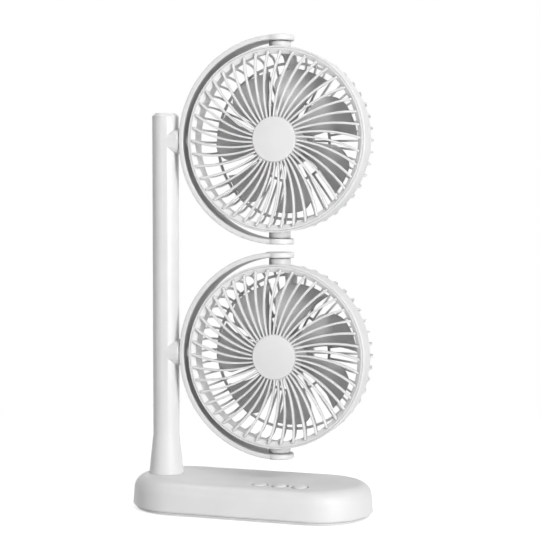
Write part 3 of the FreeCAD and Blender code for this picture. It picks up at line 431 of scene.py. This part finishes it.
def loops(rings, closed=False):
    """Mesh over rings of points, joined in a circle or closed with a face at each end.

    A ring may be one point.
    """
    points = [point for ring in rings for point in ring]
    faces = []
    starts = [0]
    for ring in rings[:-1]:
        starts.append(starts[-1] + len(ring))
    size = max(len(ring) for ring in rings)
    following = list(range(1, len(rings))) + ([0] if closed else [])
    for a, b in enumerate(following):
        for k in range(size):
            n = (k + 1) % size
            if len(rings[a]) == 1:
                faces.append((starts[a], starts[b] + n, starts[b] + k))
            elif len(rings[b]) == 1:
                faces.append((starts[a] + k, starts[a] + n, starts[b]))
            else:
                faces.append((starts[a] + k, starts[a] + n, starts[b] + n, starts[b] + k))
    if not closed:
        for i in (0, len(rings) - 1):
            if len(rings[i]) > 1:
                faces.append(tuple(starts[i] + k for k in range(size)))
    return points, faces


def lathe(path, closed=False, steps=144):
    """Solid of revolution about Z of a path of (radius, height) points."""
    rings = []
    for radius, height in path:
        count = steps if radius > 0 else 1
        turns = [2 * math.pi * k / steps for k in range(count)]
        rings.append([Vector((radius * math.cos(t), radius * math.sin(t), height)) for t in turns])
    return loops(rings, closed)


def rod(radius, low, high, steps=144):
    """Plain round rod along Z."""
    return lathe([(0, low), (radius, low), (radius, high), (0, high)], steps=steps)


def along_y(mesh):
    """Lays a mesh made about Z along Y."""
    return [Vector((p.x, p.z, -p.y)) for p in mesh[0]], mesh[1]


def along_x(mesh):
    """Lays a mesh made about Z along X."""
    return [Vector((p.z, p.y, -p.x)) for p in mesh[0]], mesh[1]


def moved(mesh, offset):
    """The mesh shifted by an offset."""
    return [point + Vector(offset) for point in mesh[0]], mesh[1]


def mirrored(mesh):
    """The mesh upside down."""
    return [Vector((p.x, p.y, -p.z)) for p in mesh[0]], mesh[1]


def joined(meshes):
    """Several meshes as one."""
    points = []
    faces = []
    for mesh in meshes:
        faces += [tuple(k + len(points) for k in face) for face in mesh[1]]
        points += mesh[0]
    return points, faces


def turned(mesh, degrees):
    """Turns a mesh about Y, counter-clockwise as seen from the front."""
    turn = Matrix.Rotation(-math.radians(degrees), 3, "Y")
    return [turn @ point for point in mesh[0]], mesh[1]


def polar(radius, degrees):
    """Point in the plane of a head, counter-clockwise from the right as seen from the front."""
    angle = math.radians(degrees)
    return Vector((radius * math.cos(angle), 0, radius * math.sin(angle)))


def solid(name, mesh):
    """New object from a mesh, with its faces turned outward."""
    data = bpy.data.meshes.new(name)
    data.from_pydata([point * MM for point in mesh[0]], [], mesh[1])
    work = bmesh.new()
    work.from_mesh(data)
    bmesh.ops.recalc_face_normals(work, faces=work.faces)
    work.to_mesh(data)
    work.free()
    piece = bpy.data.objects.new(name, data)
    bpy.context.collection.objects.link(piece)
    return piece


def combine(piece, operation, meshes):
    """Adds meshes to a piece, or cuts them from it."""
    tools = []
    for number, mesh in enumerate(meshes):
        tool = solid("%s.tool%d" % (piece.name, number), mesh)
        change = piece.modifiers.new(tool.name, "BOOLEAN")
        change.solver = "MANIFOLD"
        change.operation = operation
        change.object = tool
        tools.append(tool)
    graph = bpy.context.evaluated_depsgraph_get()
    result = bpy.data.meshes.new_from_object(piece.evaluated_get(graph))
    piece.modifiers.clear()
    piece.data = result
    for tool in tools:
        bpy.data.objects.remove(tool)
    return piece


def smooth(piece):
    """Cleans what the cuts left behind and shades the piece smooth between sharp edges."""
    work = bmesh.new()
    work.from_mesh(piece.data)
    bmesh.ops.remove_doubles(work, verts=work.verts, dist=WELD)
    bmesh.ops.triangulate(work, faces=[face for face in work.faces if len(face.verts) > 4])
    bmesh.ops.dissolve_degenerate(work, edges=work.edges, dist=SLIVER)
    bmesh.ops.recalc_face_normals(work, faces=work.faces)
    work.to_mesh(piece.data)
    work.free()
    piece.data.shade_smooth()
    piece.data.set_sharp_from_angle(angle=math.radians(SHARP_DEG))


def dress(piece, body, node, slot="white_plastic", finish=None):
    """Smooths a finished piece, gives it its finish, hangs it on its body and hides the CAD node that it
    stands for.
    """
    smooth(piece)
    piece.data.materials.clear()
    piece.data.materials.append(MATERIALS[finish or slot])
    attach(piece, body)
    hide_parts(node)


def dress_heads(master, body, node, slot="white_plastic", finish="white_head_painted_shade"):
    """Sets a piece made about the middle of a head into both heads."""
    for level in LEVELS:
        low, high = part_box("guard_cap_" + level)
        middle = (Vector(low) + Vector(high)) / 2
        data = master.data.copy()
        data.transform(Matrix.Translation((middle.x, 0.0, middle.z)))
        piece = bpy.data.objects.new("%s_%s" % (level, node), data)
        bpy.context.collection.objects.link(piece)
        dress(piece, "%s_%s" % (body, level), "%s_%s" % (node, level), slot, finish)
    bpy.data.objects.remove(master)


def node_middle(node):
    """Middle of a CAD node's box in millimetres."""
    low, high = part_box(node)
    return (Vector(low) + Vector(high)) / (2 * MM)


# Base pieces

def stadium_loop(distance, height, steps=48):
    """Points round the base at a distance from its centre line."""
    loop = []
    for side in (1, -1):
        for k in range(steps + 1):
            angle = math.pi * (k / steps - 0.5)
            x = HALF_STRAIGHT + distance * math.cos(angle)
            loop.append(Vector((side * x, side * distance * math.sin(angle), height)))
    return loop


def make_shell():
    inside_top = BASE_TOP - SHELL_WALL
    flat = BASE_TOP_R - BASE_ROUND - SHELL_FLAT_IN
    path = rounded([(flat, inside_top),
                    (BASE_TOP_R - SHELL_WALL, inside_top, BASE_ROUND - SHELL_WALL),
                    (BASE_END_R - SHELL_WALL, BASE_BOTTOM, SHELL_FOOT_ROUND[0]),
                    (BASE_END_R, BASE_BOTTOM, SHELL_FOOT_ROUND[1]),
                    (BASE_TOP_R, BASE_TOP, BASE_ROUND), (flat, BASE_TOP)], steps=14)
    shell = solid("shell", loops([stadium_loop(distance, height) for distance, height in path]))
    post = node_middle("post_cap")
    cuts = [moved(rod(SPIGOT_R + SPIGOT_GAP, *SHELL_CUT), (post.x, post.y, 0))]
    flare_r = BUTTON_HOLE_R + BUTTON_HOLE_FLARE[0]
    flare_top = BASE_TOP + BUTTON_HOLE_FLARE[1]
    edge = rounded([(0, SHELL_CUT[0]), (BUTTON_HOLE_R, SHELL_CUT[0]),
                    (BUTTON_HOLE_R, BASE_TOP - BUTTON_HOLE_SINK, BUTTON_HOLE_ROUND),
                    (flare_r, flare_top), (0, flare_top)], steps=4)
    for number in (1, 2, 3):
        middle = node_middle("button_%d" % number)
        cuts.append(moved(lathe(edge, steps=64), (middle.x, middle.y, 0)))
    cuts.append(loops([inlet_loop(y, grow) for y, grow in INLET_CUT]))
    dress(combine(shell, "DIFFERENCE", cuts), "base", "base_shell")


def inlet_loop(y, grow, steps=12):
    """Round-ended slot outline in the back wall, grown outward for its rounded edge."""
    half_h = INLET_HALF[1] + grow
    run = INLET_HALF[0] - INLET_HALF[1]
    loop = []
    for side in (1, -1):
        for k in range(steps + 1):
            angle = math.pi * (k / steps - 0.5)
            x = INLET_AT[0] + side * (run + half_h * math.cos(angle))
            loop.append(Vector((x, y, INLET_AT[1] + side * half_h * math.sin(angle))))
    return loop


def make_buttons():
    slopes = [math.radians(degrees) for degrees in range(BUTTON_DOME_STEP_DEG, 90, BUTTON_DOME_STEP_DEG)]
    dome_h = BUTTON_TOP - BUTTON_SIDE
    dome = [(BUTTON_DOME_R * math.cos(a), BUTTON_SIDE + dome_h * math.sin(a)) for a in slopes]
    path = [(0, BUTTON_BOTTOM), (BUTTON_FLANGE[0], BUTTON_BOTTOM), BUTTON_FLANGE,
            (BUTTON_R, BUTTON_FLANGE[1]), (BUTTON_R, BUTTON_GROOVE - BUTTON_EASE),
            (BUTTON_R - BUTTON_EASE, BUTTON_GROOVE), (BUTTON_DOME_R + BUTTON_FILLET, BUTTON_GROOVE),
            (BUTTON_DOME_R, BUTTON_GROOVE + BUTTON_FILLET), (BUTTON_DOME_R, BUTTON_SIDE),
            *dome, (0, BUTTON_TOP)]
    for number in (1, 2, 3):
        middle = node_middle("button_%d" % number)
        piece = solid("press_%d" % number, moved(lathe(path, steps=96), (middle.x, middle.y, 0)))
        dress(piece, "button_%d" % number, "button_%d" % number, "button_plastic")


def make_post():
    middle = node_middle("post_cap")
    path = rounded([(0, SPIGOT_BOTTOM), (SPIGOT_R, SPIGOT_BOTTOM, SPIGOT_ROUND), (SPIGOT_R, BASE_TOP),
                    (POST_CONE_R, BASE_TOP, POST_FOOT_ROUND), (POST_R, POST_CONE_TOP, POST_CONE_ROUND),
                    (POST_R, CAP_SEAM, CAP_SEAM_ROUND), (0, CAP_SEAM)])
    post = solid("post_tube", moved(lathe(path), (middle.x, middle.y, 0)))
    boss = along_x(lathe(rounded([(0, BOSS_START), (BOSS_R, BOSS_START), (BOSS_R, BOSS_REACH, BOSS_ROUND),
                                  (0, BOSS_REACH)]), steps=112))
    hole = along_x(rod(TILT_HOLE_R, 0, TILT_HOLE_L, steps=32))
    heights = [node_middle("friction_washer_" + level).z for level in LEVELS]
    places = [(middle.x, middle.y, height) for height in heights]
    combine(post, "UNION", [moved(boss, place) for place in places])
    bore = rod(POST_BORE_R, 0, POST_BORE_TOP, steps=96)
    cuts = [moved(bore, (middle.x, middle.y, 0))] + [moved(hole, place) for place in places]
    dress(combine(post, "DIFFERENCE", cuts), "base", "post")


def make_post_cap():
    middle = node_middle("post_cap")
    path = rounded([(0, CAP_SEAM), (PLUG_R - PLUG_WALL, CAP_SEAM), (PLUG_R - PLUG_WALL, PLUG_BOTTOM),
                    (PLUG_R, PLUG_BOTTOM, PLUG_ROUND), (PLUG_R, CAP_SEAM),
                    (POST_R, CAP_SEAM, CAP_SEAM_ROUND), (POST_R, CAP_TOP - CAP_CHAMFER, CAP_ROUND),
                    (POST_R - CAP_CHAMFER, CAP_TOP, CAP_ROUND), (0, CAP_TOP)])
    dress(solid("post_end", moved(lathe(path), (middle.x, middle.y, 0))), "base", "post_cap")


# Head pieces, about the middle of the head

def make_yokes(steps=120):
    section = rounded([(YOKE_IN, -YOKE_HALF, YOKE_ROUND), (YOKE_OUT, -YOKE_HALF, YOKE_ROUND),
                       (YOKE_OUT, YOKE_HALF, YOKE_ROUND), (YOKE_IN, YOKE_HALF, YOKE_ROUND)])
    rings = []
    for k in range(steps + 1):
        degrees = 90 + 180 * k / steps
        rings.append([polar(radius, degrees) + Vector((0, y, 0)) for radius, y in section])
    yoke = solid("yoke_master", loops(rings))
    paddle = lathe(rounded([(0, PADDLE_LOW), (PADDLE_R, PADDLE_LOW, PADDLE_ROUND),
                            (PADDLE_R, PADDLE_HIGH, PADDLE_ROUND), (0, PADDLE_HIGH)]))
    middle = (YOKE_IN + YOKE_OUT) / 2
    pad = along_x(lathe(rounded([(0, -YOKE_OUT), (YOKE_PAD_R, -YOKE_OUT, YOKE_PAD_ROUND),
                                 (YOKE_PAD_R, -middle), (0, -middle)]), steps=96))
    combine(yoke, "UNION", [paddle, mirrored(paddle), pad])
    bore = rod(PIN_HOLE_R, YOKE_CUT[1], PIN_HOLE_TOP, steps=48)
    head = rod(TILT_HEAD_HOLE_R, -TILT_HEAD_SEAT, -YOKE_CUT[1])
    shank = rod(TILT_HOLE_R, -YOKE_CUT[0], -YOKE_CUT[1], steps=32)
    combine(yoke, "DIFFERENCE", [bore, mirrored(bore), along_x(head), along_x(shank)])
    dress_heads(yoke, "yoke", "yoke", finish="white_yoke_painted_shade")


def make_cages():
    corners = [(POCKET_R, WALL_FRONT), (WALL_R, WALL_FRONT), (WALL_BACK_R, WALL_BACK),
               (WALL_INNER_R - WALL_TAPER, WALL_BACK), (WALL_INNER_R, POCKET_BACK)]
    wall = rounded([(*corner, radius) for corner, radius in zip(corners, WALL_ROUND)]
                   + [(POCKET_R, POCKET_BACK)])
    cage = solid("cage_master", along_y(lathe(wall, True, WALL_STEPS)))
    boss = lathe(rounded([(0, SWIVEL_BOSS_START), (SWIVEL_BOSS_R, SWIVEL_BOSS_START),
                          (SWIVEL_BOSS_R, SWIVEL_BOSS_TOP, SWIVEL_BOSS_ROUND), (0, SWIVEL_BOSS_TOP)]))
    ends = (CAGE_HUB_R - CAGE_HUB_OVERLAP, CAGE_RINGS[1][0])
    ribs = [turned(cage_rib(ends[i % 2]), 360 * i / CAGE_RIB_COUNT) for i in range(CAGE_RIB_COUNT)]
    rings = [cage_ring(radius - width / 2, radius + width / 2) for radius, width in CAGE_RINGS]
    hub = along_y(lathe(rounded([(0, CAGE_HUB_FRONT), (CAGE_HUB_R, CAGE_HUB_FRONT, CAGE_ROUND),
                                 (CAGE_HUB_R, CAGE_BACK, CAGE_HUB_ROUND), (0, CAGE_BACK)])))
    combine(cage, "UNION", [boss, mirrored(boss), joined(ribs), hub] + rings + [cage_channel()])
    pin = rod(PIN_HOLE_R, PIN_HOLE_BOTTOM, PIN_HOLE_END, steps=48)
    combine(cage, "DIFFERENCE", [pin, mirrored(pin)])
    dress_heads(cage, "head", "rear_cage")


def cage_ring(inner_r, outer_r):
    """One ring across the rear ribs."""
    front, back = CAGE_RING_Y
    section = rounded([(inner_r, front, CAGE_ROUND), (outer_r, front, CAGE_ROUND),
                       (outer_r, back, CAGE_ROUND), (inner_r, back, CAGE_ROUND)], steps=3)
    return along_y(lathe(section, True))


def cage_path(inner_r):
    """Outer edge of the rear cage as (radius, y) points, each with the direction into the cage."""
    path = rounded([(WALL_BACK_R, WALL_BACK - CAGE_RIB_ROOT), (*CAGE_SHOULDER, CAGE_BENDS[0]),
                    (*CAGE_BULGE, CAGE_BENDS[1]), (CAGE_SHOULDER_R, CAGE_BACK, CAGE_BENDS[2]),
                    (inner_r, CAGE_BACK)], steps=6)
    result = []
    for i, point in enumerate(path):
        run = (path[min(i + 1, len(path) - 1)] - path[max(i - 1, 0)]).normalized()
        result.append((point, Vector((-run.y, run.x))))
    return result


def cage_rib(inner_r):
    """One bent rib of the rear cage, at the right of the head."""
    half = CAGE_RIB_T / 2
    section = rounded([(0, -half, CAGE_ROUND), (0, half, CAGE_ROUND), (CAGE_RIB_DEPTH, half, CAGE_ROUND),
                       (CAGE_RIB_DEPTH, -half, CAGE_ROUND)], steps=3)
    rings = []
    for point, inward in cage_path(inner_r):
        places = [(point + inward * deep, across) for deep, across in section]
        rings.append([Vector((place.x, place.y, across)) for place, across in places])
    return loops(rings)


def cage_channel(steps=10):
    """Cover of the motor lead in the bay at the top, with a round bead along its middle inside."""
    bay = 360 / CAGE_RIB_COUNT
    rings = []
    for point, inward in cage_path(CAGE_HUB_R - CAGE_HUB_OVERLAP):
        outer = []
        inner = []
        for k in range(steps + 1):
            degrees = 90 + bay * (k / steps - 0.5)
            bead = CHANNEL_BEAD * max(0.0, math.sin(math.pi * k / steps)) ** 2
            for side, depth in ((outer, CHANNEL_SINK), (inner, CHANNEL_SINK + CHANNEL_T + bead)):
                place = point + inward * depth
                side.append(polar(place.x, degrees) + Vector((0, place.y, 0)))
        rings.append(outer + inner[::-1])
    return loops(rings)


def make_guards():
    corners = [(RIM_OUT, WALL_FRONT), (RIM_FLAT_IN, WALL_FRONT), (RIM_IN, RIM_SLOPE_END),
               (RIM_IN, POCKET_BACK)]
    rim = rounded([(RIM_OUT, POCKET_BACK)]
                  + [(*corner, radius) for corner, radius in zip(corners, RIM_ROUND)])
    guard = solid("guard_master", along_y(lathe(rim, True, WALL_STEPS)))
    hub_back = CAP_BACK + RIB_DEPTH
    hub = along_y(lathe(rounded([(0, CAP_BACK), (GUARD_HUB_R, CAP_BACK, GUARD_HUB_ROUND),
                                 (GUARD_HUB_R, hub_back, GUARD_HUB_ROUND), (0, hub_back)])))
    ribs = [turned(guard_rib(), 360 * i / RIB_COUNT) for i in range(RIB_COUNT)]
    combine(guard, "UNION", [hub, joined(ribs)])
    dress_heads(guard, "head", "front_guard")


def guard_rib(steps=22):
    """One spiral rib with a rounded front and a rounded outer end."""
    start = CAP_R + CAP_GAP
    run = RIB_END - RIB_TIP[0][0] - start
    stations = [(start + run * i / steps, *RIB_TIP[0][1:]) for i in range(steps + 1)]
    stations += [(RIB_END - short, shrink, drop) for short, shrink, drop in RIB_TIP[1:]]
    rings = []
    for radius, shrink, drop in stations:
        share = (radius - start) / (RIB_END - start)
        degrees = RIB_LEAN_DEG * (RIB_END - radius)
        slope = math.radians(degrees) - math.atan(radius * math.radians(RIB_LEAN_DEG))
        across = Vector((-math.sin(slope), 0, math.cos(slope)))
        half = shrink * (RIB_W[0] + share * (RIB_W[1] - RIB_W[0])) / 2
        front = RIB_FRONT[0] + share * (RIB_FRONT[1] - RIB_FRONT[0])
        front_round, back_round = RIB_ROUND[0] * shrink, RIB_ROUND[1] * shrink
        section = rounded([(-half, drop, front_round), (half, drop, front_round),
                           (half, RIB_DEPTH, back_round), (-half, RIB_DEPTH, back_round)], steps=3)
        middle = polar(radius, degrees) + Vector((0, front, 0))
        rings.append([middle + across * side + Vector((0, deep, 0)) for side, deep in section])
    return loops(rings)


def make_guard_caps():
    path = rounded([(0, CAP_BACK), (CAP_R, CAP_BACK), (CAP_R, CAP_FRONT, CAP_EDGE_ROUND), (0, CAP_FRONT)])
    dress_heads(solid("cap_master", along_y(lathe(path))), "head", "guard_cap")


def make_rear_covers():
    path = rounded([(0, CAGE_BACK), (COVER_R, CAGE_BACK), (COVER_R, COVER_BACK, COVER_ROUND),
                    (0, COVER_BACK)])
    dress_heads(solid("cover_master", along_y(lathe(path))), "head", "rear_cover")


def make_impellers():
    cup = rounded([(SHAFT_HOLE_R, ROTOR_FRONT), (ROTOR_R, ROTOR_FRONT, ROTOR_ROUND[0]),
                   (ROTOR_R, ROTOR_BACK, ROTOR_ROUND[1]), (ROTOR_INNER_R, ROTOR_BACK),
                   (ROTOR_INNER_R, ROTOR_FLOOR), (SHAFT_BOSS[0], ROTOR_FLOOR), SHAFT_BOSS,
                   (SHAFT_HOLE_R, SHAFT_BOSS[1])])
    rotor = solid("impeller_master", along_y(lathe(cup, True)))
    blades = [turned(blade(), 360 * i / BLADE_COUNT) for i in range(BLADE_COUNT)]
    combine(rotor, "UNION", [joined(blades)])
    dress_heads(rotor, "impeller", "impeller", "white_blades", "white_blades")


def blade_edges(share):
    """Points of the rear edge and of the front edge at a share of the way from root to tip."""
    rear = BLADE_FIRST_DEG - BLADE_HALF_SPAN_DEG
    ahead = BLADE_FIRST_DEG + BLADE_HALF_SPAN_DEG
    root = polar(BLADE_ROOT_R, rear + BLADE_LEAN_DEG)
    tip = polar(BLADE_TIP_R, rear - BLADE_LEAN_DEG)
    run = (tip - root).normalized()
    pull = (root + tip) / 2 + Vector((-run.z, 0, run.x)) * 2 * BLADE_HOLLOW
    behind = root * (1 - share) ** 2 + pull * 2 * share * (1 - share) + tip * share ** 2
    side = polar(BLADE_TIP_R - BLADE_CORNER, ahead)
    if share <= BLADE_STRAIGHT:
        return behind, polar(BLADE_ROOT_R, ahead + BLADE_LEAN_DEG).lerp(side, share / BLADE_STRAIGHT)
    corner = polar(BLADE_TIP_R, ahead - BLADE_LEAN_DEG)
    end = polar(BLADE_TIP_R, ahead - BLADE_LEAN_DEG - math.degrees(BLADE_CORNER / BLADE_TIP_R))
    turn = math.pi / 2 * (share - BLADE_STRAIGHT) / (1 - BLADE_STRAIGHT)
    inward = (side - corner) * (1 - math.sin(turn))
    onward = (end - corner) * (1 - math.cos(turn))
    return behind, corner + inward + onward


def edge_shares(steps):
    """Shares across a blade, closer together near its edges, each with the thickness there."""
    span = 1 - 2 * BLADE_EDGE_END
    middle = [(BLADE_EDGE_END + span * k / steps, 1.0) for k in range(steps + 1)]
    return [*BLADE_EDGE, *middle, *[(1 - share, thick) for share, thick in BLADE_EDGE[::-1]]]


def blade():
    """One twisted blade with rounded edges."""
    columns = edge_shares(BLADE_STEPS[0])
    rows = [(0.0, 1.0)] + edge_shares(BLADE_STEPS[1])[len(BLADE_EDGE) + 1:]
    front = []
    back = []
    for share, thin in rows:
        behind, ahead = blade_edges(share)
        radii = behind.length, ahead.length
        turns = math.atan2(behind.z, behind.x), math.atan2(ahead.z, ahead.x)
        for across, edge in columns:
            radius = radii[0] + across * (radii[1] - radii[0])
            turn = turns[0] + across * (turns[1] - turns[0])
            level = (radius - BLADE_ROOT_R) / (BLADE_TIP_R - BLADE_ROOT_R)
            thick = BLADE_T[0] + level * (BLADE_T[1] - BLADE_T[0])
            half = min(thin, edge) * thick / 2
            lean = math.tan(turn - math.radians(BLADE_FIRST_DEG))
            lean /= BLADE_OVERRUN * math.tan(math.radians(BLADE_HALF_SPAN_DEG))
            y = BLADE_MID_Y - BLADE_RISE * lean + BLADE_CAMBER * (1 - lean ** 2)
            place = Vector((radius * math.cos(turn), y, radius * math.sin(turn)))
            front.append(place - Vector((0, half, 0)))
            back.append(place + Vector((0, half, 0)))
    return sheet(front, back, len(rows), len(columns))


def sheet(front, back, rows, columns):
    """Closed mesh of two grids of points joined round their edge."""
    faces = []
    other = len(front)
    for i in range(rows - 1):
        for k in range(columns - 1):
            a = i * columns + k
            faces.append((a, a + 1, a + columns + 1, a + columns))
            b = other + a
            faces.append((b, b + columns, b + columns + 1, b + 1))
    rim = list(range(columns)) + [i * columns + columns - 1 for i in range(1, rows)]
    rim += [(rows - 1) * columns + k for k in range(columns - 2, -1, -1)]
    rim += [i * columns for i in range(rows - 2, 0, -1)]
    for a, b in zip(rim, rim[1:] + rim[:1]):
        faces.append((a, other + a, other + b, b))
    return front + back, faces


# Stage, light and camera

def seen(tree):
    """1 for rays that show the stage: camera, glossy and transmission rays."""
    path = add(tree, "ShaderNodeLightPath")
    first = add(tree, "ShaderNodeMath", operation="MAXIMUM")
    both = add(tree, "ShaderNodeMath", operation="MAXIMUM")
    tree.links.new(path.outputs["Is Camera Ray"], first.inputs[0])
    tree.links.new(path.outputs["Is Glossy Ray"], first.inputs[1])
    tree.links.new(first.outputs[0], both.inputs[0])
    tree.links.new(path.outputs["Is Transmission Ray"], both.inputs[1])
    return both.outputs[0]


def floor_material():
    """Pale floor that keeps the shadow near the object and fades to white further out."""
    material = bpy.data.materials.new("floor_pale")
    material.use_nodes = True
    tree = material.node_tree
    tree.nodes.clear()
    out = add(tree, "ShaderNodeOutputMaterial")
    plain = add(tree, "ShaderNodeBsdfDiffuse", Color=(*[FLOOR_COLOUR] * 3, 1.0))
    glow = add(tree, "ShaderNodeEmission", Strength=FLOOR_LIFT)
    white = add(tree, "ShaderNodeEmission", Strength=1.0)
    lifted = add(tree, "ShaderNodeAddShader")
    tree.links.new(plain.outputs[0], lifted.inputs[0])
    tree.links.new(glow.outputs[0], lifted.inputs[1])
    place = add(tree, "ShaderNodeTexCoord")
    far = add(tree, "ShaderNodeVectorMath", operation="LENGTH")
    tree.links.new(place.outputs["Object"], far.inputs[0])
    faded = spread(tree, far.outputs["Value"], 0.0, 1.0, FLOOR_NEAR, FLOOR_FAR)
    shown = add(tree, "ShaderNodeMixShader")
    tree.links.new(faded, shown.inputs[0])
    tree.links.new(lifted.outputs[0], shown.inputs[1])
    tree.links.new(white.outputs[0], shown.inputs[2])
    either = add(tree, "ShaderNodeMixShader")
    tree.links.new(seen(tree), either.inputs[0])
    tree.links.new(plain.outputs[0], either.inputs[1])
    tree.links.new(shown.outputs[0], either.inputs[2])
    tree.links.new(either.outputs[0], out.inputs["Surface"])
    return material


def make_floor():
    bpy.ops.mesh.primitive_plane_add(size=2 * FLOOR_HALF, location=(0, 0, cad_low.z))
    floor = bpy.context.object
    floor.name = "floor"
    floor.data.materials.append(floor_material())


def make_world():
    """White to look at; the light it gives grows along one axis, from front to back."""
    world = bpy.data.worlds.new("studio")
    bpy.context.scene.world = world
    world.use_nodes = True
    tree = world.node_tree
    back = tree.nodes["Background"]
    back.inputs["Color"].default_value = (1, 1, 1, 1)
    place = add(tree, "ShaderNodeTexCoord")
    along = add(tree, "ShaderNodeVectorMath", operation="DOT_PRODUCT")
    along.inputs[1].default_value = WORLD_AXIS
    tree.links.new(place.outputs["Generated"], along.inputs[0])
    light = spread(tree, along.outputs["Value"], *WORLD_LIGHT, *WORLD_RANGE)
    shown = add(tree, "ShaderNodeMath", operation="MAXIMUM")
    tree.links.new(seen(tree), shown.inputs[0])
    tree.links.new(light, shown.inputs[1])
    tree.links.new(shown.outputs[0], back.inputs["Strength"])


def make_lamps():
    """Disk lamps round the object, all aimed at its middle."""
    for name, (right, up, distance, width, power) in LAMPS.items():
        lamp = bpy.data.lights.new(name, "AREA")
        lamp.shape = "DISK"
        lamp.size = width
        lamp.energy = power
        holder = bpy.data.objects.new(name, lamp)
        bpy.context.collection.objects.link(holder)
        right = math.radians(right)
        up = math.radians(up)
        level = math.cos(up)
        away = Vector((math.sin(right) * level, -math.cos(right) * level, math.sin(up)))
        holder.location = Vector(LAMP_AIM) + away * distance
        holder.rotation_euler = away.to_track_quat("Z", "Y").to_euler()
        holder.visible_camera = False


def make_camera():
    data = bpy.data.cameras.new("photo_camera")
    data.sensor_width = SENSOR_MM
    data.lens = CAMERA_LENS_MM
    holder = bpy.data.objects.new("photo_camera", data)
    bpy.context.collection.objects.link(holder)
    holder.location = CAMERA_AT
    holder.rotation_euler = [math.radians(angle) for angle in CAMERA_TURN_DEG]
    bpy.context.scene.camera = holder


dress_cad()
make_shell()
make_buttons()
make_post()
make_post_cap()
make_yokes()
make_cages()
make_guards()
make_guard_caps()
make_rear_covers()
make_impellers()
make_floor()
make_world()
make_lamps()
make_camera()
bpy.context.scene.view_settings.view_transform = "Standard"
